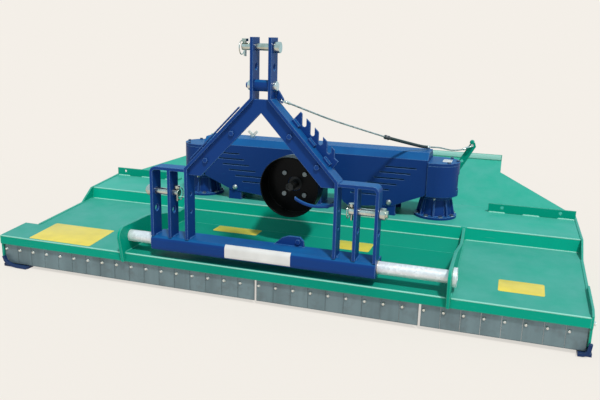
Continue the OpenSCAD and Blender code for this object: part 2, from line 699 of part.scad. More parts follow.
module groove_pulley(r, zs, bore) difference() {
  union() {
    for (z = zs) {
      rodz(z, belt_w, 2 * r);
      rodz(z - 2, 2, 2 * r + 10);
      rodz(z + belt_w, 1.5, 2 * r + 10);
    }
    rodz(zs[0] - 2, zs[len(zs) - 1] + belt_w - zs[0] + 3.5, 2 * r - 4);
  }
  rodz(zs[0] - 5, 60, bore);
}
module drive_pulley() placed() color([0.3, 0.3, 0.32]) translate([hx, axis_y, 0])
  groove_pulley(drive_r, level, up_d);

// upright shaft with the blade bar under the deck
module rotor() {
  rodz(bar_z + bar_th, 484 - bar_z - bar_th, shaft_d);
  rodz(bar_z + bar_th, deck_z - sheet_t - 4 - bar_z - bar_th, shaft_d + 14);
  difference() {
    union() {
      translate([-pivot_r - 45, -bar_w / 2, bar_z]) cube([2 * pivot_r + 90, bar_w, bar_th]);
      rodz(bar_z, bar_th, 260);
    }
    for (s = [-1, 1]) translate([s * pivot_r, 0, bar_z - 1]) cylinder(h = bar_th + 2, d = pivot_d + 0.6);
  }
}
module left_rotor() placed() color(steel) translate([rx[0], axis_y, 0]) rotate(25) rotor();
module right_rotor() placed() color(steel) translate([rx[1], axis_y, 0]) rotate(-25) rotor();
module left_pulley() placed() color([0.3, 0.3, 0.32]) translate([rx[0], axis_y, 0])
  groove_pulley(driven_r, [level[0]], shaft_d);
module right_pulley() placed() color([0.3, 0.3, 0.32]) translate([rx[1], axis_y, 0])
  groove_pulley(driven_r, [level[1]], shaft_d);

module pivots() for (s = [-1, 1]) translate([s * pivot_r, 0, 0]) {
  rodz(blade_z - 3, bar_z + bar_th - blade_z + 3, pivot_d);
  rodz(bar_z + bar_th, 12, 46, 6);
  rodz(blade_z - 11, 8, 44);
}
module left_pivots() placed() color(zinc) translate([rx[0], axis_y, 0]) rotate(25) pivots();
module right_pivots() placed() color(zinc) translate([rx[1], axis_y, 0]) rotate(-25) pivots();

module blade(s) translate([s * pivot_r, 0, blade_z]) difference() {
  union() {
    cylinder(h = blade_t, d = blade_w);
    translate([s > 0 ? 0 : pivot_r - rotor_r + 6, -blade_w / 2, 0])
      cube([rotor_r - pivot_r - 6, blade_w, blade_t]);
  }
  translate([0, 0, -1]) cylinder(h = blade_t + 2, d = pivot_d + 2 * run_fit);
  translate([s > 0 ? 70 : -200, s * blade_w / 2, blade_t]) rotate([s > 0 ? 35 : -35, 0, 0])
    translate([0, -20, 0]) cube([130, 40, 20]);
}
module left_blade_a() placed() color(steel) translate([rx[0], axis_y, 0]) rotate(25) blade(1);
module left_blade_b() placed() color(steel) translate([rx[0], axis_y, 0]) rotate(25) blade(-1);
module right_blade_a() placed() color(steel) translate([rx[1], axis_y, 0]) rotate(-25) blade(1);
module right_blade_b() placed() color(steel) translate([rx[1], axis_y, 0]) rotate(-25) blade(-1);

// tube with turned-down ends that pivot in the gussets, held by end rings
module offset_tube() placed() color(zinc) translate([0, tube_y, tube_z]) difference() {
  union() {
    rodx(tube_x0 + end_gap, tube_x1 - tube_x0 - 2 * end_gap, tube_d);
    rodx(tube_x0 - gus_t - 16, tube_x1 - tube_x0 + 2 * gus_t + 32, spigot_d);
    rodx(tube_x1 + gus_t + end_gap, 14, 72);
    rodx(tube_x0 - gus_t - end_gap - 12, 12, 60);
  }
  rodx(tube_x0 - 100, tube_x1 - tube_x0 + 200, 30);
}

module slide_bushes() placed() hs() color([0.7, 0.55, 0.25]) for (s = [-1, 1])
  translate([0, tube_y, tube_z]) difference() {
    rodx(s < 0 ? -out1 : out0, bar_t, bush_d);
    rodx(s < 0 ? -out1 - 1 : out0 - 1, bar_t + 2, tube_d + 2 * run_fit);
  }

// box beam with closed ends and the lock lug on its top
module headstock_beam() placed() hs() color(blue) {
  yz(-out0, 2 * out0) translate([tube_y, tube_z]) difference() {
    rounded(beam_w, beam_h, 18);
    rounded(beam_w - 2 * beam_t, beam_h - 2 * beam_t, 13);
  }
  for (s = [-1, 1]) yz(s < 0 ? -out1 : out0, bar_t) translate([tube_y, tube_z]) difference() {
    rounded(beam_w, beam_h, 18);
    circle(d = bush_d);
  }
  difference() {
    xz(lock_y, 10) polygon([[lock_x - 100, beam_z1], [lock_x - 66, beam_z1 + 29],
      [lock_x - 40, beam_z1 + 39], [lock_x + 6, beam_z1 + 39], [lock_x + 21, beam_z1 + 24],
      [lock_x + 24, beam_z1]]);
    translate([lock_x, 0, lock_z]) rody(lock_y - 1, 12, 12.6);
  }
}

// outer straps with their cheeks, one welded pair on each side
module hitch_frame() placed() hs() color(blue) for (s = [-1, 1]) difference() {
  xz(bar_y, bar_d) {
    translate([s < 0 ? -out1 : out0, beam_z1]) square([bar_t, strap_z - bend_r - beam_z1]);
    translate([s * (out1 - bend_r), strap_z - bend_r]) intersection() {
      difference() {
        circle(r = bend_r);
        circle(r = bend_r - bar_t);
      }
      translate([s < 0 ? -bend_r : 0, 0]) square(bend_r);
    }
    translate([s < 0 ? bend_r - out1 : leg_x + bar_t / 2, strap_z - bar_t])
      square([out1 - bend_r - leg_x - bar_t / 2, bar_t]);
    translate([s < 0 ? -mid1 : mid0, beam_z1]) square([bar_t, strap_z - bar_t - beam_z1]);
  }
  for (z = [hitch_z, hitch_z - 70]) translate([0, pin_y, z])
    rodx(s < 0 ? -out1 - 1 : mid0 - 1, out1 - mid0 + 2, pin_d + 2 * pin_fit);
}

// bar that stands on the beam, bends inwards and ends as one plate of the top clevis
module mast_bar(s) difference() {
  xz(bar_y, bar_d) bar2d([[s * leg_x, beam_z1], [s * leg_x, leg_z], [top_x(s), top_bend],
    [top_x(s), top_end]], bar_t);
  for (z = [top_z, low_hole]) translate([top_x(s) - 20, pin_y, z]) rodx(0, 40, top_d + 2 * pin_fit);
  translate([top_x(s) - 20, pin_y, spacer_z]) rodx(0, 40, spacer_d + 0.6);
  for (z = [hitch_z, hitch_z - 70]) translate([s * leg_x - 20, pin_y, z]) rodx(0, 40, 16);
}
module left_mast() placed() hs() color(blue) mast_bar(-1);
module right_mast() placed() hs() color(blue) {
  mast_bar(1);
  xz(eye_y, 8) difference() {
    translate([top_x(1) + bar_t / 2, top_bend])
      polygon([[0, 41], [12, 29], [30, 1], [24, -15], [0, 3]]);
    translate(eye) circle(d = 10);
  }
}

// front web that ties the two legs together
module mast_web() placed() hs() color(blue) difference() {
  xz(web_y, web_t) polygon([
    [-leg_x + bar_t / 2, leg_z - 25], [-leg_x + bar_t / 2, bend_z(-1, leg_z)],
    [top_x(-1) + bar_t / 2, bend_z(-1, top_bend)], [top_x(-1) + bar_t / 2, top_bend],
    [top_x(1) - bar_t / 2, top_bend], [top_x(1) - bar_t / 2, bend_z(1, top_bend)],
    [leg_x - bar_t / 2, bend_z(1, leg_z)], [leg_x - bar_t / 2, leg_z - 25],
    [leg_in(1, leg_z - 25) - web_w, leg_z - 25], [mast_dx - 2, top_bend - 49],
    [leg_in(-1, leg_z - 25) + web_w, leg_z - 25]]);
  for (p = web_bolts) translate([p[0], 0, p[1]]) rody(web_y - 1, web_t + 2, 12.6, 32);
}

module mast_spacer() placed() hs() color(blue) translate([mast_dx, pin_y, spacer_z]) difference() {
  rodx(-clevis_gap / 2, clevis_gap, 42);
  rodx(-clevis_gap / 2 - 1, clevis_gap + 2, spacer_d + 0.6);
}

module mast_bolts() placed() hs() color(zinc) {
  translate([0, pin_y, spacer_z]) {
    rodx(top_x(-1) - bar_t / 2 - 24, top_x(1) - top_x(-1) + bar_t + 24, spacer_d, 32);
    rodx(top_x(1) + bar_t / 2, 13, 34, 6);
    rodx(top_x(-1) - bar_t / 2 - 16, 16, 34, 6);
  }
  for (p = web_bolts) translate([p[0], 0, p[1]]) {
    rody(web_y - 8, 8, 21, 6);
    rody(web_y, web_t + 14, 12, 32);
    rody(web_y + web_t, 10, 21, 6);
  }
  translate([lock_x, 0, lock_z]) {
    rody(lock_y - 8, 8, 21, 6);
    rody(lock_y, 26, 12, 32);
    rody(lock_y + 10, 10, 21, 6);
  }
}

// comb for the hoses, held on the right leg by three tabs
module comb_rack() placed() hs() color(blue) difference() {
  union() {
    xz(rack_y, 6) polygon([[leg_out(1, 726), 726], [143.5, 757], [276, 627], [276, 598],
      [291, 586], [272, 560], [leg_out(1, 556), 556]]);
    for (z = [570, 634, 700]) xz(rack_y - 20, 26) polygon([[leg_out(1, z), z],
      [leg_out(1, z + 25), z + 25], [leg_out(1, z + 25) + 7, z + 32], [leg_out(1, z) + 7, z + 7]]);
  }
  for (p = comb) xz(rack_y - 1, 8) {
    translate(p + [0, comb_w / 2]) circle(d = comb_w);
    translate(p + [-comb_w / 2, comb_w / 2]) square([comb_w, 150]);
  }
}

// bent round bar on the inner side of the right leg
module rest_hook() placed() hs() color(blue) intersection() {
  translate([212, bar_y + bar_d - 10, 569]) rotate([90, 0, 0]) rotate_extrude()
    translate([hook_r, 0]) circle(d = 12, $fn = 32);
  translate([128, 0, 380]) cube([leg_x - bar_t / 2 - 128, 80, 120]);
}

module hitch_pins() placed() hs() color(zinc) difference() {
  union() {
    for (s = [-1, 1]) translate([0, pin_y, hitch_z]) {
      rodx(s < 0 ? -out1 - 30 : link_x - 10, out1 - link_x + 40, pin_d);
      rodx(s < 0 ? -out1 - 22 : out1 + 2, 20, pin_d + 16);
    }
    translate([0, pin_y, top_z]) {
      rodx(top_link - 10, top_x(1) + 38 - top_link, top_d);
      rodx(top_x(1) + bar_t / 2 + 2, 20, top_d + 14);
    }
  }
  for (s = [-1, 1]) translate([s * link_x, pin_y, hitch_z]) rodz(-40, 80, link_d + 0.6);
  translate([top_link, pin_y, top_z]) rodz(-40, 80, link_d + 0.6);
}

// linchpin with its snap ring beyond the end of the hitch pin
module linchpin(s) {
  rodz(-34, 60, link_d, 32);
  rodz(18, 10, 24, 32);
  translate([-s * 13, 0, -4]) rotate([0, 90, 0]) rotate_extrude()
    translate([24, 0]) circle(d = 4, $fn = 16);
}
module left_linchpin() placed() hs() color(zinc)
  translate([-link_x, pin_y, hitch_z]) linchpin(-1);
module right_linchpin() placed() hs() color(zinc)
  translate([link_x, pin_y, hitch_z]) linchpin(1);
module top_linchpin() placed() hs() color(zinc)
  translate([top_link, pin_y, top_z]) linchpin(1);

// smooth curve through the points p, n steps between each two
function curve(p, n) = concat([for (i = [0 : len(p) - 2], k = [0 : n - 1])
  let(a = p[max(i - 1, 0)], b = p[i], c = p[i + 1], d = p[min(i + 2, len(p) - 1)], u = k / n)
    0.5 * (2 * b + (c - a) * u + (2 * a - 5 * b + 4 * c - d) * u * u
      + (3 * b - a - 3 * c + d) * u * u * u)], [p[len(p) - 1]]);
function place(q) = [q[0], q[1], q[2]];
module cord(q, n) {
  m = len(q);
  polyhedron(points = [for (i = [0 : m - 1])
      let(t = unit(place(q[min(i + 1, m - 1)]) - place(q[max(i - 1, 0)])),
        a = unit(cross(t, [0, 0, 1])), b = cross(a, t))
      for (k = [0 : n - 1]) place(q[i]) + q[i][3] * (cos(360 * k / n) * a + sin(360 * k / n) * b)],
    faces = concat([[for (k = [n - 1 : -1 : 0]) k], [for (k = [0 : n - 1]) (m - 1) * n + k]],
      [for (i = [0 : m - 2], k = [0 : n - 1])
        [i * n + k, i * n + (k + 1) % n, (i + 1) * n + (k + 1) % n, (i + 1) * n + k]]));
}
module wire_upper() placed() color([0.35, 0.42, 0.42]) cord(curve(upper_path, 10), 8);
module cable_rear() placed() color([0.08, 0.14, 0.13]) cord(curve(rear_path, 5), 8);

left_wing();
right_wing();
centre_pan();
top_deck();
rear_wall();
left_end_plate();
right_end_plate();
skids();
gussets();
rear_angles();
rear_lug();
flap_rod();
left_flaps();
centre_flaps();
right_flaps();
left_flap_bolts();
centre_flap_bolts();
right_flap_bolts();
hubs();
flange_bolts();
belt_guards();
guard_lids();
belt_cover();
cover_feet();
cover_fixings();
gear_case();
input_tube();
pto_bell();
bearings();
belts();
input_shaft();
upright_shaft();
drive_pulley();
left_rotor();
left_pulley();
left_pivots();
right_rotor();
right_pulley();
right_pivots();
left_blade_a();
left_blade_b();
right_blade_a();
right_blade_b();
offset_tube();
slide_bushes();
headstock_beam();
hitch_frame();
left_mast();
right_mast();
mast_web();
mast_spacer();
mast_bolts();
comb_rack();
rest_hook();
hitch_pins();
left_linchpin();
right_linchpin();
top_linchpin();
wire_upper();
cable_rear();
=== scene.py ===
"""Looks of a twin-rotor mulching mower: finishes, hold-up cable, welds, plain plates and stage."""

import json
import math

import bmesh
import bpy
from bpy.props import FloatProperty, FloatVectorProperty, PointerProperty
from bpy.types import Operator, Panel, PropertyGroup
from mathutils import Matrix, Vector


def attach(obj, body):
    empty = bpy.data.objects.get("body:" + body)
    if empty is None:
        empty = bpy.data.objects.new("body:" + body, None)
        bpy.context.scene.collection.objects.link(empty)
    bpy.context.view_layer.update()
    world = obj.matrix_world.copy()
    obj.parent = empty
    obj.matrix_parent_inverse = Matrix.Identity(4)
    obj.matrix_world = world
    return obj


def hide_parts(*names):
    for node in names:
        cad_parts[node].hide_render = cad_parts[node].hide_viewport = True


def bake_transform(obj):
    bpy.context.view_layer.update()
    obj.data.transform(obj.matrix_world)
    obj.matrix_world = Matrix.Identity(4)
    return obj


bl_info = {
    "name": "Mulching mower looks",
    "version": (1, 0, 0),
    "blender": (4, 5, 0),
    "location": "View3D > Sidebar > Mower",
    "description": "Finishes, hold-up cable, welds, plain plates and stage of a mulching mower",
    "category": "Object",
}

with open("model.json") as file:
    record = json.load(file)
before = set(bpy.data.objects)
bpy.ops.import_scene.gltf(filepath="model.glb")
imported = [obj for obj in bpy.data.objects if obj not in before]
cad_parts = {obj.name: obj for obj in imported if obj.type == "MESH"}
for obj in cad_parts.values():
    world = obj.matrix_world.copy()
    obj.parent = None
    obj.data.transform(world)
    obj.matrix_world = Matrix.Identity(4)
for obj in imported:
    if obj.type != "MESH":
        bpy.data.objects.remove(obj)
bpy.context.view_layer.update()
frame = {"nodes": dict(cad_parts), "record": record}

# Places are those of the part's source: millimetres, with depth counted from the flap curtain.
MM = 0.001
ORIGIN_Y = 650.0
SKIRT_Y = -14.0
SKIRT_TOP = 142.0
STEP_Y = 555.0
WING_TOP = 190.0
DECK_TOP = 243.0
BACK_Y = 1340.0
BEAM_TOP = 233.0
DRIVE_X = 9.5
DRIVE_Z = 398.0
DRIVE_FLANGE_Y = 420.0
HUB_REACH = 578.0
HUB_Y = 718.0
LID_TOP = 498.0


def at(x, y, z):
    """A point of the part's source in the row frame."""
    return Vector((x * MM, (y - ORIGIN_Y) * MM, z * MM))


def on_wing(x, y):
    """A point on top of a wing."""
    return at(x, y, SKIRT_TOP + (y - SKIRT_Y) * (WING_TOP - SKIRT_TOP) / (STEP_Y - SKIRT_Y))


# Mesh tools

# Upward part of a direction that counts as upright.
UPRIGHT = 0.9
# Inset in millimetres and share of the height of the rings of a flat plate.
PLATE_RINGS = ((0.0, 0.0), (0.0, 0.6), (0.9, 1.0))
FINE_SMOOTH = 60.0


def aside(axis):
    """A direction well off an axis."""
    return Vector((0, 0, 1)) if abs(axis.z) < UPRIGHT else Vector((1, 0, 0))


class Shape:
    """Vertices and faces of a piece while it is put together."""

    def __init__(self):
        self.verts = []
        self.faces = []

    def rings(self, rings, closed=False):
        """Skins rings of equal length, with a cap on each open end."""
        base = len(self.verts)
        size = len(rings[0])
        for ring in rings:
            self.verts.extend(ring)
        count = len(rings)
        for i in range(count if closed else count - 1):
            a = base + i * size
            b = base + (i + 1) % count * size
            for k in range(size):
                j = (k + 1) % size
                self.faces.append((a + k, a + j, b + j, b + k))
        if not closed:
            self.faces.append(tuple(reversed(range(base, base + size))))
            self.faces.append(tuple(range(base + (count - 1) * size, base + count * size)))

    def sweep(self, points, section, closed=False):
        """Carries section(way, number) along the points, way in metres from the start."""
        count = len(points)
        side = None
        way = 0.0
        rings = []
        for i, point in enumerate(points):
            before = points[i - 1] if i or closed else point
            after = points[(i + 1) % count] if closed or i < count - 1 else point
            along = (after - before).normalized()
            if side is None:
                side = along.cross(aside(along))
            side = (side - along * side.dot(along)).normalized()
            other = along.cross(side)
            if i:
                way += (point - points[i - 1]).length
            rings.append([point + side * u + other * v for u, v in section(way, i)])
        self.rings(rings, closed)

    def lathe(self, centre, axis, profile, steps):
        """Turns a closed profile of (radius, height) about an axis."""
        axis = Vector(axis).normalized()
        a = axis.cross(aside(axis)).normalized()
        b = axis.cross(a)
        rings = []
        for k in range(steps):
            t = math.tau * k / steps
            out = a * math.cos(t) + b * math.sin(t)
            rings.append([centre + out * r + axis * h for r, h in profile])
        self.rings(rings, True)

    def plate(self, outline, thickness, place):
        """Flat plate with an eased edge; place(u, v, height) puts it on its surface."""
        middle = Vector((sum(p[0] for p in outline), sum(p[1] for p in outline))) / len(outline)
        rings = []
        for inset, share in PLATE_RINGS:
            ring = []
            for u, v in outline:
                away = Vector((u, v)) - middle
                away -= away.normalized() * inset
                ring.append(place(middle.x + away.x, middle.y + away.y, thickness * share))
            rings.append(ring)
        self.rings(rings)


def circle(radius, sides):
    """Points of a round section."""
    return [
        (radius * math.cos(math.tau * k / sides), radius * math.sin(math.tau * k / sides))
        for k in range(sides)
    ]


def rounded_outline(u0, v0, u1, v1, radius, steps=5):
    """Outline of a rectangle with rounded corners."""
    points = []
    corners = ((u1, v1, 0), (u0, v1, 90), (u0, v0, 180), (u1, v0, 270))
    for u, v, start in corners:
        cu = u - radius if u == u1 else u + radius
        cv = v - radius if v == v1 else v + radius
        for k in range(steps + 1):
            t = math.radians(start + 90 * k / steps)
            points.append((cu + radius * math.cos(t), cv + radius * math.sin(t)))
    return points


def curve(points, steps):
    """Smooth curve through the points."""
    out = []
    for i in range(len(points) - 1):
        a = points[max(i - 1, 0)]
        b, c = points[i], points[i + 1]
        d = points[min(i + 2, len(points) - 1)]
        for k in range(steps):
            u = k / steps
            bend = (2 * a - 5 * b + 4 * c - d) * u**2
            twist = (3 * b - a - 3 * c + d) * u**3
            out.append(0.5 * (2 * b + (c - a) * u + bend + twist))
    out.append(points[-1])
    return out


def evenly(points, step):
    """The same line with points a step apart."""
    shortest = step * 0.3
    out = [points[0]]
    left = step
    for a, b in zip(points, points[1:]):
        length = (b - a).length
        done = left
        while done < length:
            out.append(a.lerp(b, done / length))
            done += step
        left = done - length
    if (out[-1] - points[-1]).length > shortest:
        out.append(points[-1])
    else:
        out[-1] = points[-1]
    return out


def build(name, shape, look, smooth=35.0):
    """Makes the mesh object of a shape; edges sharper than smooth degrees stay sharp."""
    mesh = bpy.data.meshes.new(name)
    mesh.from_pydata(shape.verts, [], shape.faces)
    work = bmesh.new()
    work.from_mesh(mesh)
    bmesh.ops.recalc_face_normals(work, faces=work.faces)
    work.to_mesh(mesh)
    work.free()
    mesh.shade_smooth()
    mesh.set_sharp_from_angle(angle=math.radians(smooth))
    mesh.materials.append(MATERIALS[look])
    obj = bpy.data.objects.new(name, mesh)
    bpy.context.scene.collection.objects.link(obj)
    return obj


# Material tools

GROUPS = {}
MATERIALS = {}
# Upward part of a normal at which dust and the enamels' painted sky sheen start and are full.
LEVEL = (0.55, 0.98)


def rgb(red, green, blue):
    """An opaque colour."""
    return (red, green, blue, 1.0)


def shade(colour, factor):
    """A colour made lighter or darker."""
    return rgb(*(min(1.0, c * factor) for c in colour[:3]))


def wire(tree, source, target):
    """Links two sockets."""
    tree.links.new(source, target)


def add(tree, kind, inputs=None, **settings):
    """Adds a node with its settings; each of its inputs is a socket to link or a plain value."""
    node = tree.nodes.new(kind)
    for key, value in settings.items():
        setattr(node, key, value)
    for key, value in (inputs or {}).items():
        if isinstance(value, bpy.types.NodeSocket):
            wire(tree, value, node.inputs[key])
        else:
            node.inputs[key].default_value = value
    return node


def maths(tree, operation, a, b):
    """A Math node on two sockets or numbers."""
    return add(tree, "ShaderNodeMath", {0: a, 1: b}, operation=operation).outputs[0]


def span(tree, value, low, high, to_low=0.0, to_high=1.0):
    """Maps a value from one range to another and keeps it inside."""
    source = {"Value": value, "From Min": low, "From Max": high}
    target = {"To Min": to_low, "To Max": to_high}
    return add(tree, "ShaderNodeMapRange", source | target).outputs["Result"]


def mixed(tree, factor, first, second):
    """Mixes two colours, each a socket or four numbers."""
    inputs = {0: factor, 6: first, 7: second}
    return add(tree, "ShaderNodeMix", inputs, data_type="RGBA").outputs[2]


def drifted(tree, value, colour, darkest, lightest):
    """A colour that drifts between two shades with a noise value."""
    return mixed(tree, span(tree, value, 0.3, 0.7), shade(colour, darkest), shade(colour, lightest))


def laid(tree, mask, share, under, over):
    """Lays a colour over another where a mask says so, up to a share."""
    return mixed(tree, maths(tree, "MULTIPLY", mask, share), under, over)


def object_place(tree):
    """The point's place on its own piece."""
    return add(tree, "ShaderNodeTexCoord").outputs["Object"]


def stretched(tree, place, scale, rotation=(0.0, 0.0, 0.0)):
    """A place that is scaled apart along its axes, and may be turned."""
    inputs = {"Vector": place, "Scale": scale, "Rotation": rotation}
    return add(tree, "ShaderNodeMapping", inputs).outputs["Vector"]


def noise(tree, place, scale, detail, rough=0.5):
    """Noise at a scale that is a socket or a number."""
    inputs = {"Vector": place, "Scale": scale, "Detail": detail, "Roughness": rough}
    return add(tree, "ShaderNodeTexNoise", inputs).outputs["Fac"]


def new_group(name, inputs, *outputs):
    """Starts a node group with its input values; gives its tree and the sockets of both ends."""
    tree = bpy.data.node_groups.new(name, "ShaderNodeTree")
    for label, default in inputs.items():
        socket = tree.interface.new_socket(label, in_out="INPUT", socket_type="NodeSocketFloat")
        socket.default_value = default
    for label in outputs:
        kind = "NodeSocketVector" if label == "Normal" else "NodeSocketFloat"
        tree.interface.new_socket(label, in_out="OUTPUT", socket_type=kind)
    return tree, add(tree, "NodeGroupInput").outputs, add(tree, "NodeGroupOutput").inputs


def eased_edge_group():
    """Rounds edges in the shading and masks them, whole and chipped."""
    tree, enter, leave = new_group(
        "eased_edge", {"Radius": 0.002, "Wear Scale": 70.0}, "Normal", "Wear", "Edge"
    )
    bevel = add(tree, "ShaderNodeBevel", {"Radius": enter["Radius"]}, samples=4)
    eased = bevel.outputs["Normal"]
    face = add(tree, "ShaderNodeNewGeometry").outputs["Normal"]
    turn = add(tree, "ShaderNodeVectorMath", {0: eased, 1: face}, operation="DOT_PRODUCT")
    edge = span(tree, turn.outputs["Value"], 0.995, 0.86)
    grain = noise(tree, object_place(tree), enter["Wear Scale"], detail=5.0, rough=0.65)
    chips = span(tree, grain, 0.42, 0.62)
    wire(tree, eased, leave["Normal"])
    wire(tree, maths(tree, "MULTIPLY", edge, chips), leave["Wear"])
    wire(tree, edge, leave["Edge"])
    return tree


def paint_film_group():
    """Tone drift, orange peel, dust on level faces that on the enamels also paints a sky sheen, and
    scuffs of a sprayed enamel.
    """
    scales = {"Tone Scale": 2.4, "Peel Scale": 420.0, "Dust Scale": 9.0}
    level = {"Level Low": LEVEL[0], "Level High": LEVEL[1]}
    tree, enter, leave = new_group("paint_film", scales | level, "Tone", "Peel", "Dust and Sheen", "Scuff")
    place = object_place(tree)
    tone = noise(tree, place, enter["Tone Scale"], detail=5.0)
    peel = noise(tree, place, enter["Peel Scale"], detail=1.0)
    clouds = noise(tree, place, enter["Dust Scale"], detail=7.0, rough=0.62)
    face = add(tree, "ShaderNodeNewGeometry").outputs["Normal"]
    upward = add(tree, "ShaderNodeSeparateXYZ", {0: face}).outputs["Z"]
    lying = span(tree, upward, enter["Level Low"], enter["Level High"])
    dust_and_sheen = maths(tree, "MULTIPLY", lying, span(tree, clouds, 0.2, 0.9, to_low=0.25))
    streaks = noise(tree, stretched(tree, place, (9.0, 90.0, 120.0)), 2.0, detail=3.0, rough=0.6)
    scuff = span(tree, streaks, 0.66, 0.78)
    for label, value in (("Tone", tone), ("Peel", peel), ("Dust and Sheen", dust_and_sheen), ("Scuff", scuff)):
        wire(tree, value, leave[label])
    return tree


def metal_grain_group():
    """Rolled streaks, blotches and fine pits of bare or plated metal."""
    scales = {"Streak Scale": 6.0, "Blotch Scale": 24.0, "Pit Scale": 900.0}
    tree, enter, leave = new_group("metal_grain", scales, "Streak", "Blotch", "Pits")
    place = object_place(tree)
    rolled = stretched(tree, place, (14.0, 14.0, 1.2))
    streak = noise(tree, rolled, enter["Streak Scale"], detail=4.0, rough=0.6)
    blotch = noise(tree, place, enter["Blotch Scale"], detail=5.0, rough=0.6)
    pits = noise(tree, place, enter["Pit Scale"], detail=2.0)
    for label, value in (("Streak", streak), ("Blotch", blotch), ("Pits", pits)):
        wire(tree, value, leave[label])
    return tree


def spangle_group():
    """Crystal flakes of a zinc skin, as a value for each flake."""
    tree, enter, leave = new_group("spangle", {"Flake Scale": 160.0}, "Flake")
    inputs = {"Vector": object_place(tree), "Scale": enter["Flake Scale"]}
    cells = add(tree, "ShaderNodeTexVoronoi", inputs, feature="F1").outputs["Color"]
    parts = add(tree, "ShaderNodeSeparateColor", {0: cells})
    wire(tree, parts.outputs["Red"], leave["Flake"])
    return tree


def placed_group(tree, name, inputs=None):
    """Puts one of the shared groups into a material and gives its outputs."""
    return add(tree, "ShaderNodeGroup", inputs, node_tree=GROUPS[name]).outputs


def start_material(name, **constants):
    """New material and its shader, with constants on the shader's own sockets."""
    material = bpy.data.materials.new(name)
    material.use_nodes = True
    tree = material.node_tree
    shader = tree.nodes["Principled BSDF"]
    for key, value in constants.items():
        shader.inputs[key.replace("_", " ").title().replace("Ior", "IOR")].default_value = value
    MATERIALS[name] = material
    return tree, shader


def surfaced(tree, shader, colour, rough, normal, relief, bump, depth):
    """Feeds a colour, a roughness and a relief, on an eased normal if any, into the shader."""
    inputs = {"Strength": bump, "Distance": depth, "Height": relief}
    if normal is not None:
        inputs["Normal"] = normal
    node = add(tree, "ShaderNodeBump", inputs)
    wire(tree, colour, shader.inputs["Base Color"])
    wire(tree, rough, shader.inputs["Roughness"])
    wire(tree, node.outputs["Normal"], shader.inputs["Normal"])


def enamel(name, colour, dust_and_sheen, dust_and_sheen_share, edge_wear_and_highlight, radius, gloss, edge_highlight, level=LEVEL):
    """Sprayed enamel with a painted highlight along its edges, dust and a painted sky sheen on
    level faces, and rubbed spots.
    """
    tree, shader = start_material(
        name, coat_weight=gloss * 0.3, coat_roughness=0.2, specular_ior_level=gloss
    )
    film = placed_group(tree, "paint_film", {"Level Low": level[0], "Level High": level[1]})
    edge = placed_group(tree, "eased_edge", {"Radius": radius})
    tone = drifted(tree, film["Tone"], colour, darkest=0.92, lightest=1.07)
    scuffed = laid(tree, film["Scuff"], 0.10, tone, dust_and_sheen)
    # Dust on level faces, with a painted bluish sky sheen on the deck and headstock enamels.
    dusted_and_sheened = laid(tree, film["Dust and Sheen"], dust_and_sheen_share, scuffed, dust_and_sheen)
    # Painted highlight along every edge in the worn colour, then real wear on the chipped edges.
    edge_highlighted = laid(tree, edge["Edge"], edge_highlight, dusted_and_sheened, edge_wear_and_highlight)
    rubbed = laid(tree, edge["Wear"], 0.4, edge_highlighted, edge_wear_and_highlight)
    rough = span(tree, film["Dust and Sheen"], 0.0, 1.0, to_low=0.36, to_high=0.46)
    rough = maths(tree, "ADD", rough, maths(tree, "MULTIPLY", film["Scuff"], 0.08))
    surfaced(tree, shader, rubbed, rough, edge["Normal"], film["Peel"], bump=0.1, depth=0.0005)


def plated(name, colour, tint, rough, metallic, flake_scale, radius, bare=None):
    """Zinc skin with flakes and tinted blotches; bare is its colour near the drive's flange."""
    tree, shader = start_material(name, metallic=metallic)
    grain = placed_group(tree, "metal_grain")
    flake = placed_group(tree, "spangle", {"Flake Scale": flake_scale})["Flake"]
    edge = placed_group(tree, "eased_edge", {"Radius": radius})
    base = mixed(tree, flake, shade(colour, 0.86), shade(colour, 1.08))
    warm = mixed(tree, span(tree, grain["Blotch"], 0.42, 0.66), base, tint)
    edge_wear_and_highlight = laid(tree, edge["Wear"], 0.4, warm, shade(colour, 1.25))
    if bare is not None:
        ends = {0: object_place(tree), 1: at(DRIVE_X, DRIVE_FLANGE_Y, DRIVE_Z)}
        away = add(tree, "ShaderNodeVectorMath", ends, operation="DISTANCE")
        edge_wear_and_highlight = mixed(tree, span(tree, away.outputs["Value"], 0.26, 0.24), edge_wear_and_highlight, bare)
    value = maths(tree, "ADD", rough, maths(tree, "MULTIPLY", flake, 0.12))
    surfaced(tree, shader, edge_wear_and_highlight, value, edge["Normal"], grain["Pits"], bump=0.12, depth=0.0003)


def raw_metal(name, colour, stain, rough, metallic, stain_share, streak, radius, joint=0.0):
    """Rolled, turned or cast metal with streaks and stains; its edges can be darkened as painted
    shade in the gaps between parts.
    """
    tree, shader = start_material(name, metallic=metallic)
    grain = placed_group(tree, "metal_grain", {"Streak Scale": streak})
    blotch = grain["Blotch"]
    edge = placed_group(tree, "eased_edge", {"Radius": radius})
    base = drifted(tree, grain["Streak"], colour, darkest=0.78, lightest=1.16)
    stained = laid(tree, span(tree, blotch, 0.5, 0.72), stain_share, base, stain)
    # Painted shade along the edges, for the gaps between neighbouring flaps.
    gap_shaded = laid(tree, edge["Edge"], joint, stained, shade(colour, 0.3))
    edge_wear_and_highlight = laid(tree, edge["Wear"], 0.5 - 0.4 * joint, gap_shaded, shade(colour, 1.7))
    rough = span(tree, blotch, 0.3, 0.75, to_low=rough - 0.07, to_high=rough + 0.12)
    surfaced(tree, shader, edge_wear_and_highlight, rough, edge["Normal"], grain["Pits"], bump=0.2, depth=0.0004)


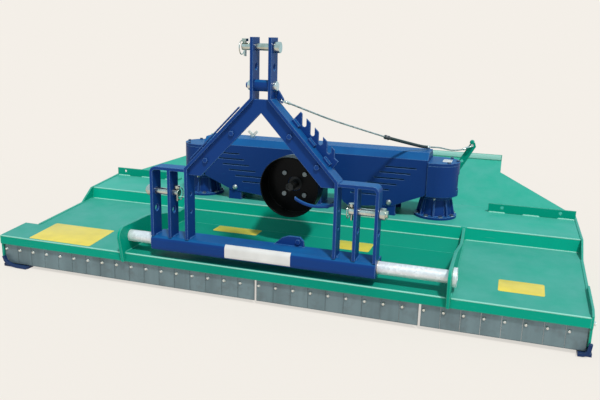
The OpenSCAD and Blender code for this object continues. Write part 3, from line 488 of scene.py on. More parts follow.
def moulded(name, colour, scuff, rough, peel_scale, radius, gloss):
    """Moulded plastic or rubber with scuffs and a fine texture."""
    tree, shader = start_material(name, specular_ior_level=gloss)
    film = placed_group(tree, "paint_film", {"Peel Scale": peel_scale})
    tone = film["Tone"]
    edge = placed_group(tree, "eased_edge", {"Radius": radius})
    base = drifted(tree, tone, colour, darkest=0.8, lightest=1.2)
    dusted_and_sheened = laid(tree, film["Dust and Sheen"], 0.12, base, scuff)
    rubbed = laid(tree, edge["Wear"], 0.3, dusted_and_sheened, scuff)
    rough = span(tree, tone, 0.3, 0.75, to_low=rough - 0.05, to_high=rough + 0.1)
    surfaced(tree, shader, rubbed, rough, edge["Normal"], film["Peel"], bump=0.16, depth=0.0005)


def strand(name, colour, dirt, lay, rough):
    """Wire rope: strands lighter on their crowns and darker between them, with blotches of dirt."""
    tree, shader = start_material(name, metallic=0.7)
    blotch = placed_group(tree, "metal_grain", {"Blotch Scale": 60.0})["Blotch"]
    twisted = stretched(tree, object_place(tree), (lay, lay, lay), (0.5, 0.6, 0.3))
    inputs = {"Vector": twisted, "Scale": 1.0, "Distortion": 1.2}
    crowns = add(tree, "ShaderNodeTexWave", inputs, wave_type="BANDS").outputs["Fac"]
    base = mixed(tree, crowns, shade(colour, 0.6), shade(colour, 1.25))
    dirty = mixed(tree, span(tree, blotch, 0.4, 0.68), base, dirt)
    rough = span(tree, blotch, 0.3, 0.7, to_low=rough - 0.08, to_high=rough + 0.14)
    surfaced(tree, shader, dirty, rough, None, crowns, bump=0.35, depth=0.0004)


def film_patch(name, colour, dirt, rough):
    """Blank printed film or painted plate, a little faded and dusty."""
    tree, shader = start_material(name, coat_weight=0.1)
    film = placed_group(tree, "paint_film", {"Tone Scale": 14.0, "Dust Scale": 30.0})
    edge = placed_group(tree, "eased_edge", {"Radius": 0.0008, "Wear Scale": 180.0})
    base = drifted(tree, film["Tone"], colour, darkest=0.9, lightest=1.04)
    dusted_and_sheened = laid(tree, film["Dust and Sheen"], 0.18, base, dirt)
    rubbed = laid(tree, edge["Wear"], 0.5, dusted_and_sheened, dirt)
    rough = span(tree, film["Scuff"], 0.0, 1.0, to_low=rough, to_high=rough + 0.18)
    surfaced(tree, shader, rubbed, rough, edge["Normal"], film["Peel"], bump=0.1, depth=0.0003)


# Settings


def colour_property(name, description, *default):
    """A colour that a user may change."""
    return FloatVectorProperty(
        name=name, description=description, default=rgb(*default),
        size=4, min=0.0, max=1.0, subtype="COLOR",
    )


def length_property(name, description, default):
    """A length in metres that a user may change."""
    return FloatProperty(
        name=name, description=description, default=default, min=0.0, unit="LENGTH"
    )


def strength_property(name, description, default):
    """A light's strength that a user may change."""
    return FloatProperty(name=name, description=description, default=default)


class MowerFinish(PropertyGroup):
    """Colours of the finishes."""

    deck_green: colour_property("Deck green", "Enamel of the deck", 0.001, 0.365, 0.248)
    hitch_blue: colour_property("Hitch blue", "Enamel of headstock and drive", 0.008, 0.049, 0.226)
    # Dust colour, bluish because it also paints a sky sheen on the level faces of the enamels.
    dust_and_sheen: colour_property("Dust and Sheen", "Dust on level faces", 0.420, 0.660, 0.780)
    flap_grey: colour_property("Flap grey", "Plate of the curtain flaps", 0.170, 0.242, 0.266)
    zinc: colour_property("Zinc", "Plating of screws and fittings", 0.720, 0.725, 0.690)
    tube_skin: colour_property("Tube skin", "Zinc skin of the offset tube", 0.880, 0.910, 0.930)
    bell: colour_property("Bell", "Moulding of the power take-off bell", 0.0014, 0.0017, 0.0016)
    sleeve: colour_property("Sleeve", "Hose over the cable", 0.012, 0.028, 0.024)
    wire: colour_property("Wire", "Strands of the cable", 0.560, 0.620, 0.620)
    sign: colour_property("Sign", "Blank plate on the beam", 0.800, 0.810, 0.800)
    patch: colour_property("Patch", "Blank film on the deck", 0.960, 0.770, 0.060)


class MowerSizes(PropertyGroup):
    """Sizes of the dressing and strengths of the light."""

    weld_radius: length_property("Weld radius", "Radius of the weld beads", 0.0042)
    weld_pitch: length_property("Weld pitch", "Length of one weld ripple", 0.0055)
    wire_radius: length_property("Wire radius", "Radius of the upper wire", 0.0034)
    rear_wire_radius: length_property("Rear wire radius", "Radius of the slack rear wire", 0.0034)
    sleeve_radius: length_property("Sleeve radius", "Radius of the cable's sleeve", 0.007)
    film_thickness: length_property("Film thickness", "Thickness of the blank films", 0.0006)
    sun_strength: strength_property("Sun strength", "Strength of the key light", 2.2)
    fill_strength: strength_property("Fill strength", "Strength of the sky fill", 0.40)
    backdrop: colour_property("Backdrop", "Pale floor and background", 0.905, 0.864, 0.807)


# Stage

CAMERA_PLACE = (0.88171, -2.87692, 1.02290)
# Yaw, pitch and roll.
CAMERA_TURN = [math.radians(angle) for angle in (-17.758, 14.066, -1.469)]
CAMERA_LENS = 39.3125
SENSOR_WIDTH = 36.0
CAMERA_REACH = 60.0
SUN_WAY = (-0.36, 0.50, -1.0)
SUN_SPREAD = math.radians(6.0)
SUN_PLACE = (0.0, 0.0, 3.0)
SUN_COLOUR = (1.0, 0.985, 0.955)
FILL_COLOUR = rgb(0.93, 0.97, 1.0)
MIRRORED_COLOUR = rgb(0.60, 0.86, 1.0)
MIRRORED_STRENGTH = 0.95
FLOOR_RADIUS = 9.0
FLOOR_SIDES = 72
FLOOR_Z = -0.0005
# The floor takes faint shadows near the part and glows evenly further out.
SHADOW_REACH = (1.6, 3.2)
SHADOW_GLOW = 0.72


def mixed_shader(tree, factor, first, second):
    """Mixes two shaders by a socket."""
    return add(tree, "ShaderNodeMixShader", {0: factor, 1: first, 2: second}).outputs[0]


def background(tree, colour, strength):
    """A plain sky."""
    return add(tree, "ShaderNodeBackground", {"Color": colour, "Strength": strength}).outputs[0]


def place_camera(scene):
    """Camera at the photograph's angle."""
    lens = bpy.data.cameras.new("photo_camera")
    lens.lens = CAMERA_LENS
    lens.sensor_width = SENSOR_WIDTH
    lens.sensor_fit = "HORIZONTAL"
    lens.clip_end = CAMERA_REACH
    camera = bpy.data.objects.new("photo_camera", lens)
    yaw, pitch, roll = CAMERA_TURN
    flat = math.cos(pitch)
    ahead = Vector((math.sin(yaw) * flat, math.cos(yaw) * flat, -math.sin(pitch)))
    right = Vector((math.cos(yaw), -math.sin(yaw), 0.0))
    down = ahead.cross(right)
    across = right * math.cos(roll) + down * math.sin(roll)
    below = down * math.cos(roll) - right * math.sin(roll)
    turn = Matrix((across, -below, -ahead)).transposed().to_4x4()
    camera.matrix_world = Matrix.Translation(CAMERA_PLACE) @ turn
    scene.collection.objects.link(camera)
    scene.camera = camera


def place_sun(scene, strength):
    """Key light from the front right."""
    key = bpy.data.lights.new("key_sun", "SUN")
    key.energy = strength
    key.angle = SUN_SPREAD
    key.color = SUN_COLOUR
    lamp = bpy.data.objects.new("key_sun", key)
    lamp.rotation_mode = "QUATERNION"
    lamp.rotation_quaternion = Vector(SUN_WAY).to_track_quat("-Z", "Y")
    lamp.location = SUN_PLACE
    scene.collection.objects.link(lamp)


def make_sky(scene, backdrop, fill_strength):
    """World that is plain to the camera, bluish in reflections and soft as a fill light."""
    world = bpy.data.worlds.new("pale_sky")
    world.use_nodes = True
    tree = world.node_tree
    tree.nodes.clear()
    path = add(tree, "ShaderNodeLightPath").outputs
    fill = background(tree, FILL_COLOUR, fill_strength)
    mirrored = background(tree, MIRRORED_COLOUR, MIRRORED_STRENGTH)
    lit = mixed_shader(tree, path["Is Glossy Ray"], fill, mirrored)
    straight = maths(tree, "MAXIMUM", path["Is Camera Ray"], path["Is Transmission Ray"])
    sky = mixed_shader(tree, straight, lit, background(tree, backdrop, 1.0))
    add(tree, "ShaderNodeOutputWorld", {"Surface": sky})
    scene.world = world


def floor_material(backdrop):
    """Backdrop's colour with faint shadows near the part, and nothing when seen from below."""
    material = bpy.data.materials.new("pale_floor")
    material.use_nodes = True
    tree = material.node_tree
    tree.nodes.clear()
    path = add(tree, "ShaderNodeLightPath").outputs
    mirror = maths(tree, "MAXIMUM", path["Is Camera Ray"], path["Is Glossy Ray"])
    seen = maths(tree, "MAXIMUM", mirror, path["Is Transmission Ray"])
    matt = add(tree, "ShaderNodeBsdfDiffuse", {"Color": backdrop}).outputs[0]
    glow = add(tree, "ShaderNodeEmission", {"Color": backdrop, "Strength": 1.0}).outputs[0]
    reach = add(tree, "ShaderNodeVectorMath", {0: object_place(tree)}, operation="LENGTH")
    share = span(tree, reach.outputs["Value"], *SHADOW_REACH, to_low=SHADOW_GLOW)
    above = mixed_shader(tree, maths(tree, "MULTIPLY", share, seen), matt, glow)
    behind = add(tree, "ShaderNodeNewGeometry").outputs["Backfacing"]
    clear = add(tree, "ShaderNodeBsdfTransparent").outputs[0]
    add(tree, "ShaderNodeOutputMaterial", {"Surface": mixed_shader(tree, behind, above, clear)})
    return material


class MOWER_OT_stage(Operator):
    """Camera at the photograph's angle, soft light and a pale floor"""

    bl_idname = "mower.stage"
    bl_label = "Stage"

    def execute(self, context):
        scene = context.scene
        sizes = scene.mower_sizes
        backdrop = tuple(sizes.backdrop)
        scene.view_settings.view_transform = "Standard"
        place_camera(scene)
        place_sun(scene, sizes.sun_strength)
        make_sky(scene, backdrop, sizes.fill_strength)
        rim = [Vector((x, y, FLOOR_Z)) for x, y in circle(FLOOR_RADIUS, FLOOR_SIDES)]
        mesh = bpy.data.meshes.new("pale_floor")
        mesh.from_pydata(rim, [], [tuple(range(FLOOR_SIDES))])
        mesh.materials.append(floor_material(backdrop))
        floor = bpy.data.objects.new("pale_floor", mesh)
        scene.collection.objects.link(floor)
        return {"FINISHED"}


# Finishes

# The finish of each material slot.
SLOT_LOOKS = {
    "green_paint": "deck_enamel",
    "blue_paint": "hitch_enamel",
    "flap_steel": "flap_plate",
    "zinc": "zinc_plating",
    "galvanised": "tube_zinc",
    "bare_steel": "raw_steel",
    "pulley_iron": "cast_iron",
    "bell_black": "bell_moulding",
    "belt_rubber": "belt_rubber",
    "bush_bronze": "bush_bronze",
    "wire_rope": "wire_strands",
    "cable_sleeve": "sleeve_hose",
}
# The solids that the photograph shows in a finish of their own; the centre pan, the skids, the
# input shaft and the bearings are darker as painted shade, and the top deck is lighter as painted
# light.
NODE_LOOKS = {
    "mast_bolts": "hitch_enamel",
    "flange_bolts": "painted_bolts",
    "input_shaft": "painted_shade_steel",
    "bearings": "painted_shade_steel",
    "centre_pan": "pan_painted_shade_enamel",
    "top_deck": "upper_painted_light_enamel",
    "hitch_pins": "pin_plating",
    "left_linchpin": "pin_plating",
    "right_linchpin": "pin_plating",
    "top_linchpin": "pin_plating",
    "skids": "skid_painted_shade_enamel",
}
# Lighter greens that paint a highlight along the enamels' edges and also colour their rubbed wear.
EDGE_WEAR_AND_HIGHLIGHT_GREEN = rgb(0.20, 0.66, 0.54)
PALE_EDGE_WEAR_AND_HIGHLIGHT = rgb(0.45, 0.80, 0.72)


def make_enamels(finish):
    """The paints of the deck, the headstock and the skids."""
    green, dust_and_sheen = tuple(finish.deck_green), tuple(finish.dust_and_sheen)
    # Copies of the deck enamel: the upper one lighter as painted light, the pan one darker as
    # painted shade with almost no dust or painted sheen.
    sheets = (
        ("deck_enamel", 1.0, 0.27),
        ("upper_painted_light_enamel", 1.18, 0.27),
        ("pan_painted_shade_enamel", 0.84, 0.03),
    )
    for name, factor, dust_and_sheen_share in sheets:
        colour = shade(green, factor)
        enamel(name, colour, dust_and_sheen, dust_and_sheen_share, EDGE_WEAR_AND_HIGHLIGHT_GREEN, radius=0.005, gloss=0.06, edge_highlight=0.4)
    # Pale enamels of the seams, the folds and the flange skin; on the folds the pale colour is a
    # painted highlight along the bends.
    pale = (
        ("pale_seam_and_highlight_enamel", rgb(0.30, 0.72, 0.60), 0.1),
        ("flange_enamel", rgb(0.33, 0.68, 0.60), 0.2),
    )
    for name, colour, dust_and_sheen_share in pale:
        enamel(name, colour, dust_and_sheen, dust_and_sheen_share, PALE_EDGE_WEAR_AND_HIGHLIGHT, radius=0.002, gloss=0.3, edge_highlight=0.3)
    # The headstock blue takes a vivid blue painted sky sheen on level and sloped faces in place of
    # dust, and a painted highlight along its edges.
    enamel(
        "hitch_enamel", tuple(finish.hitch_blue), rgb(0.015, 0.36, 0.78), 0.35,
        rgb(0.22, 0.42, 0.76), radius=0.0036, gloss=0.08, edge_highlight=0.55, level=(0.52, 0.7),
    )
    # Darker blue of the skids as painted shade, with dark dirt on level faces.
    enamel(
        "skid_painted_shade_enamel", rgb(0.005, 0.030, 0.120), rgb(0.06, 0.07, 0.09), 0.2,
        rgb(0.10, 0.16, 0.26), radius=0.003, gloss=0.2, edge_highlight=0.3,
    )


def make_platings(finish):
    """The zinc skins of the tube, the pins and the screws."""
    plated(
        "painted_bolts", rgb(0.11, 0.15, 0.20), rgb(0.03, 0.07, 0.18), rough=0.3, metallic=0.5,
        flake_scale=300.0, radius=0.001, bare=rgb(0.26, 0.30, 0.30),
    )
    plated(
        "zinc_plating", tuple(finish.zinc), rgb(0.70, 0.69, 0.61), rough=0.26, metallic=1.0,
        flake_scale=420.0, radius=0.001,
    )
    plated(
        "pin_plating", rgb(0.62, 0.63, 0.55), rgb(0.44, 0.44, 0.35), rough=0.2, metallic=1.0,
        flake_scale=420.0, radius=0.001,
    )
    plated(
        "tube_zinc", tuple(finish.tube_skin), rgb(0.78, 0.81, 0.83), rough=0.34, metallic=0.35,
        flake_scale=120.0, radius=0.002,
    )


def make_metals(finish):
    """The flaps, the bare steel, the castings, the bushes and the wire."""
    # The flaps' edges are darkened as painted shade in the gaps between them.
    raw_metal(
        "flap_plate", tuple(finish.flap_grey), rgb(0.13, 0.15, 0.155), rough=0.46, metallic=0.35,
        stain_share=0.5, streak=0.9, radius=0.005, joint=0.9,
    )
    # Near-black steel of the input shaft and the bearings as painted shade inside the bell.
    raw_metal(
        "painted_shade_steel", rgb(0.030, 0.031, 0.030), rgb(0.012, 0.012, 0.011), rough=0.34,
        metallic=0.6, stain_share=0.5, streak=6.0, radius=0.001,
    )
    raw_metal(
        "raw_steel", rgb(0.30, 0.30, 0.30), rgb(0.20, 0.12, 0.07), rough=0.36, metallic=0.9,
        stain_share=0.35, streak=7.0, radius=0.001,
    )
    raw_metal(
        "cast_iron", rgb(0.13, 0.13, 0.14), rgb(0.07, 0.05, 0.04), rough=0.52, metallic=0.8,
        stain_share=0.5, streak=3.0, radius=0.0015,
    )
    raw_metal(
        "bush_bronze", rgb(0.56, 0.36, 0.14), rgb(0.22, 0.14, 0.07), rough=0.34, metallic=1.0,
        stain_share=0.4, streak=6.0, radius=0.001,
    )
    strand("wire_strands", tuple(finish.wire), rgb(0.20, 0.25, 0.25), lay=900.0, rough=0.4)


def make_mouldings(finish):
    """The bell, the belts, the sleeve and the blank plates."""
    moulded(
        "bell_moulding", tuple(finish.bell), rgb(0.03, 0.036, 0.033), rough=0.3,
        peel_scale=300.0, radius=0.003, gloss=0.12,
    )
    moulded(
        "belt_rubber", rgb(0.016, 0.016, 0.017), rgb(0.10, 0.10, 0.10), rough=0.6,
        peel_scale=700.0, radius=0.001, gloss=0.4,
    )
    moulded(
        "sleeve_hose", tuple(finish.sleeve), rgb(0.12, 0.16, 0.15), rough=0.36,
        peel_scale=600.0, radius=0.001, gloss=0.5,
    )
    film_patch("blank_sign", tuple(finish.sign), rgb(0.45, 0.48, 0.48), rough=0.3)
    film_patch("blank_film", tuple(finish.patch), rgb(0.40, 0.36, 0.16), rough=0.36)


class MOWER_OT_finishes(Operator):
    """Builds the finishes and puts one on every solid of the part"""

    bl_idname = "mower.finishes"
    bl_label = "Finishes"

    def execute(self, context):
        finish = context.scene.mower_finish
        GROUPS["eased_edge"] = eased_edge_group()
        GROUPS["paint_film"] = paint_film_group()
        GROUPS["metal_grain"] = metal_grain_group()
        GROUPS["spangle"] = spangle_group()
        for make in (make_enamels, make_platings, make_metals, make_mouldings):
            make(finish)
        for part in frame["record"]["subparts"]:
            solid = frame["nodes"][part["node"]]
            solid.data.materials.clear()
            look = NODE_LOOKS.get(part["node"], SLOT_LOOKS[part["material_slot"]])
            solid.data.materials.append(MATERIALS[look])
        return {"FINISHED"}


# Hold-up cable

JOINT = at(375, 513, 616)
SLEEVE_END = at(536, 760, 546)
REAR_EYE = at(713, 941, 540)
UPPER_ROUTE = [at(76, 37, 794), at(152, 157, 744), at(226, 275, 698), JOINT]
SLEEVE_ROUTE = [JOINT, at(387, 531, 610), at(455, 636, 578), at(505, 710, 556), SLEEVE_END]
REAR_ROUTE = [
    SLEEVE_END, at(540, 767, 546), at(575, 822, 538),
    at(625, 888, 520), at(672, 928, 521), REAR_EYE,
]
ROUTE_STEPS = 24
WIRE_STEP = 0.002
UPPER_LAY = 0.045
REAR_LAY = 0.05
ROPE_SIDES = 24
STRANDS = 6
STRAND_GROOVE = 0.16
HOSE_STEP = 0.004
HOSE_SIDES = 20
HOSE_RIB = 0.00025
HOSE_EASE = 0.0012


def rope(route, radius, lay):
    """Points of a stranded wire along its route, and its shape."""

    def section(way, _):
        ring = []
        for k in range(ROPE_SIDES):
            t = math.tau * k / ROPE_SIDES
            crown = abs(math.cos(STRANDS / 2 * (t + math.tau * way / lay)))
            r = radius * (1.0 - STRAND_GROOVE + STRAND_GROOVE * crown)
            ring.append((r * math.cos(t), r * math.sin(t)))
        return ring

    points = evenly(curve(route, ROUTE_STEPS), WIRE_STEP)
    shape = Shape()
    shape.sweep(points, section)
    return points, shape


def ferrule(shape, points, radius, sides=18):
    """Pressed oval ferrule with a waist between its two collars."""
    last = len(points) - 1

    def section(_, i):
        u = i / last
        waist = 1.0 - 0.14 * math.sin(math.pi * u) ** 4
        lip = min(1.0, 0.72 + 2.6 * min(u, 1.0 - u))
        return [(1.12 * a, 0.9 * b) for a, b in circle(radius * waist * lip, sides)]

    shape.sweep(points, section)


def end_eye(end, inner, offset, ring_radius, ring_wire, pressed, ferrule_radius):
    """Long ring at a wire's end, in line with an inner point, and the ferrule that closes it."""
    along = (inner - end).normalized()
    across = Vector((0, 1, 0)).cross(along).cross(along).normalized()
    centre = end + along * offset
    points = [centre + across * u + along * 1.25 * v for u, v in circle(ring_radius, 36)]
    shape = Shape()
    shape.sweep(points, lambda way, i: circle(ring_wire, 12), True)
    ferrule(shape, pressed, ferrule_radius)
    return shape


class MOWER_OT_cable(Operator):
    """Hold-up cable: upper wire, hose sleeve, slack rear wire and their end fittings"""

    bl_idname = "mower.cable"
    bl_label = "Hold-up cable"

    def execute(self, context):
        sizes = context.scene.mower_sizes
        upper, shape = rope(UPPER_ROUTE, sizes.wire_radius, UPPER_LAY)
        piece = build("hold_wire_upper", shape, "wire_strands", FINE_SMOOTH)
        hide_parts("wire_upper")
        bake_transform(piece)

        hose = evenly(curve(SLEEVE_ROUTE, ROUTE_STEPS), HOSE_STEP)
        ends = (0, len(hose) - 1)

        def hose_section(_, i):
            rib = HOSE_RIB * math.cos(i * math.pi)
            ease = HOSE_EASE if i in ends else 0.0
            return circle(sizes.sleeve_radius + rib - ease, HOSE_SIDES)

        shape = Shape()
        shape.sweep(hose, hose_section)
        piece = build("cable_sleeve", shape, "sleeve_hose", FINE_SMOOTH)
        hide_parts("cable_rear")
        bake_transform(piece)

        rear, shape = rope(REAR_ROUTE, sizes.rear_wire_radius, REAR_LAY)
        piece = build("hold_wire_rear", shape, "wire_strands", FINE_SMOOTH)
        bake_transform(piece)

        collars = (
            ("sleeve_collar_front", hose[:8], 1.55, "cast_iron", "pulley_iron"),
            ("sleeve_collar_rear", hose[-6:], 1.22, "zinc_plating", "zinc"),
        )
        for name, points, swell, look, slot in collars:
            shape = Shape()
            ferrule(shape, points, sizes.sleeve_radius * swell)
            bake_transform(build(name, shape, look))

        top = end_eye(
            upper[0], upper[12], offset=0.009, ring_radius=0.0085, ring_wire=0.0024,
            pressed=upper[10:22], ferrule_radius=0.0062,
        )
        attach(build("upper_eye", top, "zinc_plating"), "headstock")
        low = end_eye(
            rear[-1], rear[-14], offset=0.013, ring_radius=0.0125, ring_wire=0.0036,
            pressed=rear[-24:-11], ferrule_radius=0.0068,
        )
        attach(build("rear_eye", low, "zinc_plating"), "deck")
        return {"FINISHED"}


# Welds and folds

# Posts, straps, web and lock lug count from the drive's axis, all else from zero.
POST_FACES = (444, 379, 367, 305, 293)
STRAP_ENDS = ((379, 504), (367, 504), (305, 516), (305, 504))
WEB_EDGES = (((-284, 555), (-80, 766)), ((254, 558), (75, 751)))
LOCK_LUG_SPAN = (38, 156)
LOCK_LUG_FACES = (66, 76)
GUSSET_INNER = (-577, 724)
GUSSET_OUTER = (-589, 736)
RIGHT_PLATE = 1197
LEFT_PLATE = -1126
REAR_LUG_SPAN = (536, 567)
REAR_LUG_FACES = (945, 953)
STEP_SPANS = ((-1120, -592), (-574, 721), (739, 1194))
# Depth, height, radius in metres and spans of the folds along the step and the skirt, which stand
# in the pale enamel as a painted highlight along the bends.
FOLDS = (
    (568.6, 241.6, 0.0034, ((-1124, -596), (-570, 717), (743, 1195))),
    (-12.2, 140.4, 0.003, ((-1204, -592), (-574, 721), (739, 1196))),
)
ANGLE_SPANS = ((817, 1195), (-1183, -817))
STITCH = 75
STITCHES = 3
THIN = 0.8
BEAD_SIDES = 10
BEAD_RINGS = 3
FOLD_SIDES = 16
FOLD_RINGS = 60


def weld(shape, start, end, radius, pitch):
    """Rippled bead on a corner line, tapered at its ends."""
    length = (end - start).length
    count = max(8, int(length / (pitch / BEAD_RINGS)))
    points = [start.lerp(end, i / count) for i in range(count + 1)]

    def section(way, i):
        r = radius * (0.45 + 0.55 * min(1.0, min(i, count - i) / BEAD_RINGS))
        ripple = 0.13 * math.cos(math.tau * way / pitch)
        wander = 0.05 * math.sin(way * 310.0)
        return circle(r * (1.0 + ripple + wander), BEAD_SIDES)

    shape.sweep(points, section)


def welded(beads, radius, pitch):
    """Shape of beads, each with its ends and its share of the radius."""
    shape = Shape()
    for start, end, share in beads:
        weld(shape, start, end, radius * share, pitch)
    return shape


def fold(shape, start, end, radius):
    """Smooth outside bend of a folded sheet, eased at its ends."""
    points = [start.lerp(end, i / FOLD_RINGS) for i in range(FOLD_RINGS + 1)]
    eased = (0, FOLD_RINGS)
    shape.sweep(points, lambda way, i: circle(radius * (0.7 if i in eased else 1.0), FOLD_SIDES))


def level_bead(x0, y0, x1, y1, z, share=1.0):
    """A bead at one height."""
    return at(x0, y0, z), at(x1, y1, z), share


def headstock_beads():
    """Beads of the posts, the straps, the web and the lock lug."""
    beads = []
    for side in (-1, 1):
        for reach in POST_FACES:
            x = DRIVE_X + side * reach
            beads.append(level_bead(x, -3, x, 44, BEAM_TOP))
        for reach, z in STRAP_ENDS:
            x = DRIVE_X + side * reach
            beads.append(level_bead(x, -17, x, 42, z))
    for (low_x, low_z), (high_x, high_z) in WEB_EDGES:
        beads.append((at(DRIVE_X + low_x, -6, low_z), at(DRIVE_X + high_x, -6, high_z), THIN))
    x0, x1 = (DRIVE_X + x for x in LOCK_LUG_SPAN)
    for y in LOCK_LUG_FACES:
        beads.append(level_bead(x0, y, x1, y, BEAM_TOP, THIN))
    return beads


def deck_beads():
    """Beads of the gussets, the end plates and the rear lug."""
    beads = []
    for x in GUSSET_INNER:
        beads.append(level_bead(x, -8, x, 496, SKIRT_TOP))
    for x in GUSSET_OUTER:
        beads.append((on_wing(x, -8), on_wing(x, 552), 1.0))
    beads.append((on_wing(RIGHT_PLATE, -8), on_wing(RIGHT_PLATE, 552), THIN))
    beads.append(level_bead(RIGHT_PLATE, 570, RIGHT_PLATE, 966, DECK_TOP, THIN))
    beads.append((on_wing(LEFT_PLATE, 156), on_wing(LEFT_PLATE, 552), THIN))
    beads.append(level_bead(LEFT_PLATE - 3, 570, LEFT_PLATE - 70, 928, DECK_TOP, THIN))
    x0, x1 = REAR_LUG_SPAN
    for y in REAR_LUG_FACES:
        beads.append(level_bead(x0, y, x1, y, DECK_TOP))
    return beads


def angle_beads():
    """Stitches along both sides of the rear angle bars."""
    beads = []
    for x0, x1 in ANGLE_SPANS:
        gap = (x1 - x0 - STITCH) / (STITCHES - 1)
        for k in range(STITCHES):
            start = x0 + gap * k
            for y, share in ((880, 1.1), (930, 1.0)):
                beads.append(level_bead(start, y, start + STITCH, y, DECK_TOP, share))
    return beads


class MOWER_OT_welds(Operator):
    """Weld beads of the headstock, the deck and the angle bars, the step's seam and the folds"""

    bl_idname = "mower.welds"
    bl_label = "Welds and folds"

    def execute(self, context):
        sizes = context.scene.mower_sizes
        radius, pitch = sizes.weld_radius, sizes.weld_pitch
        blue = welded(headstock_beads(), radius, pitch)
        piece = build("headstock_welds", blue, "hitch_enamel", FINE_SMOOTH)
        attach(piece, "headstock")

        green = welded(deck_beads(), radius, pitch)
        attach(build("deck_welds", green, "deck_enamel", FINE_SMOOTH), "deck")

        steps = [level_bead(x0, STEP_Y, x1, STEP_Y, WING_TOP, 0.75) for x0, x1 in STEP_SPANS]
        seam = welded(steps, radius, pitch * 1.6)
        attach(build("step_seam", seam, "pale_seam_and_highlight_enamel", FINE_SMOOTH), "deck")

        # The folds are in the pale enamel as a painted highlight along the bends.
        folds = Shape()
        for y, z, bend, spans in FOLDS:
            for x0, x1 in spans:
                fold(folds, at(x0, y, z), at(x1, y, z), bend)
        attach(build("folded_edges", folds, "pale_seam_and_highlight_enamel", FINE_SMOOTH), "deck")

        bars = welded(angle_beads(), radius, pitch)
        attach(build("angle_welds", bars, "pale_seam_and_highlight_enamel", FINE_SMOOTH), "deck")
        return {"FINISHED"}


# Blank plates and films

BEND = 18.0
BEND_Y = -6.0
LOW_BEND_Z = 191.0
HIGH_BEND_Z = 215.0
SIGN_X = -125.0
SIGN_WIDTH = 268.0
SIGN_COLUMNS = 40
SIGN_INSIDE = 0.1
SIGN_OUTSIDE = 1.1
FILM_CORNER = 8.0
LID_FILM_CORNER = 4.0


def bend_points(centre_z, first, last):
    """Points of a bend of the beam every ten degrees, with their outward directions."""
    points = []
    for degrees in range(first, last + 1, 10):
        t = math.radians(degrees)
        y, z = BEND_Y - BEND * math.cos(t), centre_z + BEND * math.sin(t)
        points.append((y, z, -math.cos(t), math.sin(t)))
    return points


def sign_shape():
    """Plate bent around the front of the beam."""
    face = [(BEND_Y - BEND, LOW_BEND_Z + height, -1.0, 0.0) for height in (6, 12, 18)]
    contour = bend_points(LOW_BEND_Z, -30, 0) + face + bend_points(HIGH_BEND_Z, 0, 70)
    rings = []
    for c in range(SIGN_COLUMNS + 1):
        x = SIGN_X + SIGN_WIDTH * c / SIGN_COLUMNS
        outer, inner = (
            [at(x, y + ny * out, z + nz * out) for y, z, ny, nz in contour]
            for out in (SIGN_OUTSIDE, SIGN_INSIDE)
        )
        rings.append(outer + inner[::-1])
    shape = Shape()
    shape.rings(rings)
    return shape


class MOWER_OT_plates(Operator):
    """Blank plate on the beam and blank films on the deck and a lid"""

    bl_idname = "mower.plates"
    bl_label = "Blank plates"

    def execute(self, context):
        film = context.scene.mower_sizes.film_thickness / MM
        sign = build("beam_sign", sign_shape(), "blank_sign", smooth=50.0)
        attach(sign, "headstock")

        lean = Vector((0.0, SKIRT_TOP - WING_TOP, STEP_Y - SKIRT_Y)).normalized()

        def wing_place(u, v, height):
            return on_wing(u, v) + lean * height * MM

        def level_place(top):
            return lambda u, v, height: at(u, v, top + height)

        yellow = (
            ("left_wing_film", (-1062, -3, -755, 186), wing_place),
            ("right_wing_film", (892, 99, 1053, 198), wing_place),
            ("pan_film_left", (-384, 412, -169, 494), level_place(SKIRT_TOP)),
            ("pan_film_right", (203, 375, 358, 494), level_place(SKIRT_TOP)),
        )
        for name, corners, place in yellow:
            shape = Shape()
            shape.plate(rounded_outline(*corners, FILM_CORNER), film, place)
            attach(build(name, shape, "blank_film"), "deck")
        shape = Shape()
        outline = rounded_outline(606, 682, 646, 752, LID_FILM_CORNER)
        shape.plate(outline, film, level_place(LID_TOP))
        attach(build("lid_film", shape, "blank_sign"), "deck")
        return {"FINISHED"}


# Small fittings

# Profiles are closed lines of (radius, height) in metres.
KNOB = (
    (0.0, -0.012), (0.0085, -0.012), (0.0105, -0.008),
    (0.0105, 0.003), (0.008, 0.006), (0.0, 0.0065),
)
NIPPLE = (
    (0.0, -0.006), (0.005, -0.006), (0.005, 0.004), (0.003, 0.006),
    (0.0042, 0.011), (0.0024, 0.014), (0.0, 0.014),
)
WASHER_HOLE = 0.0052
WASHER_RADIUS = 0.0118
WASHER_HEIGHT = 0.0014
WASHER = (
    (WASHER_HOLE, 0.0), (WASHER_RADIUS, 0.0), (WASHER_RADIUS, WASHER_HEIGHT * 0.7),
    (WASHER_RADIUS - WASHER_HEIGHT * 0.4, WASHER_HEIGHT), (WASHER_HOLE, WASHER_HEIGHT),
)
CAP_RADIUS = 0.0182
CAP_TOP_RADIUS = 0.0158
CAP_EASE = 0.003
CAP_Y = 12
CAP_Z = 845
# Place beside the drive's axis, way out and length of the caps of the mast spacer's bolt.
CAPS = ((-35.5, -1, 0.0166), (46.5, 1, 0.0136))
BELL_STEPS = 96
BELL_FRONT_Y = 336.5
BELL_RIM = [(0.1275 + u, v) for u, v in circle(0.0032, 12)]
BELL_RIB = [(0.129 + 0.0012 * u, 0.0022 * v) for u, v in circle(1.0, 8)]
BELL_RIB_PLACES = (362, 388)
HUB_SCREWS = 8
HUB_SCREW_CIRCLE = 0.083
HUB_FLANGE_TOP = 0.255
NIPPLE_PLACE = Vector((0.0, -0.071, 0.335))


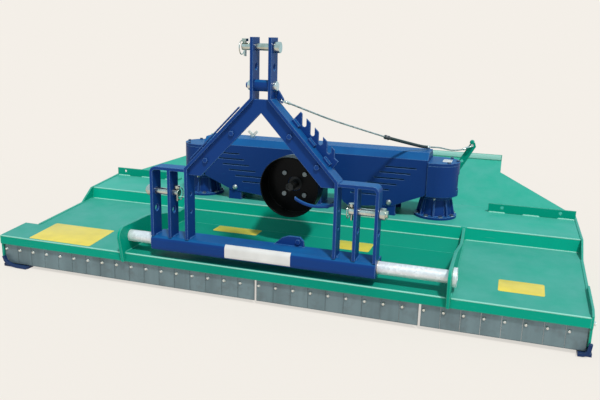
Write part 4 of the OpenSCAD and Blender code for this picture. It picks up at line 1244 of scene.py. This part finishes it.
class MOWER_OT_fittings(Operator):
    """Bell rim, flange skin, lug knob, spacer caps, hub washers and grease nipples"""

    bl_idname = "mower.fittings"
    bl_label = "Small fittings"

    def execute(self, context):
        rim = Shape()
        rim.lathe(at(DRIVE_X, BELL_FRONT_Y, DRIVE_Z), (0, 1, 0), BELL_RIM, BELL_STEPS)
        for y in BELL_RIB_PLACES:
            rim.lathe(at(DRIVE_X, y, DRIVE_Z), (0, 1, 0), BELL_RIB, BELL_STEPS)
        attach(build("bell_rim", rim, "bell_moulding", FINE_SMOOTH), "deck")

        skin = Shape()
        outline = rounded_outline(-827, 411.5, 846, 438.5, radius=3.0)
        skin.plate(outline, thickness=0.6, place=lambda u, v, out: at(u, BACK_Y - out, v))
        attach(build("flange_skin", skin, "flange_enamel"), "deck")

        knob = Shape()
        knob.lathe(at(712, 943, 556), (0, -1, 0), KNOB, steps=28)
        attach(build("lug_knob", knob, "deck_enamel"), "deck")

        mast = Shape()
        for x, facing, length in CAPS:
            side = ((CAP_RADIUS, 0.0), (CAP_RADIUS, length - CAP_EASE), (CAP_TOP_RADIUS, length))
            cap = ((0.0, 0.0), *side, (0.0, length))
            mast.lathe(at(DRIVE_X + x, CAP_Y, CAP_Z), (facing, 0, 0), cap, steps=24)
        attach(build("spacer_caps", mast, "zinc_plating"), "headstock")

        deck = Shape()
        for side in (-1, 1):
            hub = at(DRIVE_X + side * HUB_REACH, HUB_Y, 0)
            for k in range(HUB_SCREWS):
                t = math.tau * (k + 0.5) / HUB_SCREWS
                spot = Vector((math.cos(t), math.sin(t), 0)) * HUB_SCREW_CIRCLE
                spot.z = HUB_FLANGE_TOP
                deck.lathe(hub + spot, (0, 0, 1), WASHER, steps=36)
            deck.lathe(hub + NIPPLE_PLACE, (0, -1, 0), NIPPLE, steps=20)
        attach(build("deck_washers", deck, "zinc_plating"), "deck")
        return {"FINISHED"}


class MOWER_PT_looks(Panel):
    """Lists the steps that dress the mower"""

    bl_idname = "MOWER_PT_looks"
    bl_label = "Mulching mower"
    bl_space_type = "VIEW_3D"
    bl_region_type = "UI"
    bl_category = "Mower"

    def draw(self, context):
        layout = self.layout
        for step in STEPS:
            layout.operator(step.bl_idname)
        for group in (context.scene.mower_finish, context.scene.mower_sizes):
            box = layout.box()
            for key in group.bl_rna.properties.keys():
                if key not in {"rna_type", "name"}:
                    box.prop(group, key)


STEPS = (
    MOWER_OT_stage, MOWER_OT_finishes, MOWER_OT_cable,
    MOWER_OT_welds, MOWER_OT_plates, MOWER_OT_fittings,
)
CLASSES = (MowerFinish, MowerSizes) + STEPS + (MOWER_PT_looks,)


def register():
    for cls in CLASSES:
        bpy.utils.register_class(cls)
    bpy.types.Scene.mower_finish = PointerProperty(type=MowerFinish)
    bpy.types.Scene.mower_sizes = PointerProperty(type=MowerSizes)


def unregister():
    del bpy.types.Scene.mower_sizes
    del bpy.types.Scene.mower_finish
    for cls in reversed(CLASSES):
        bpy.utils.unregister_class(cls)


def main():
    register()
    bpy.ops.mower.stage()
    bpy.ops.mower.finishes()
    bpy.ops.mower.cable()
    bpy.ops.mower.welds()
    bpy.ops.mower.plates()
    bpy.ops.mower.fittings()


if __name__ == "__main__":
    main()
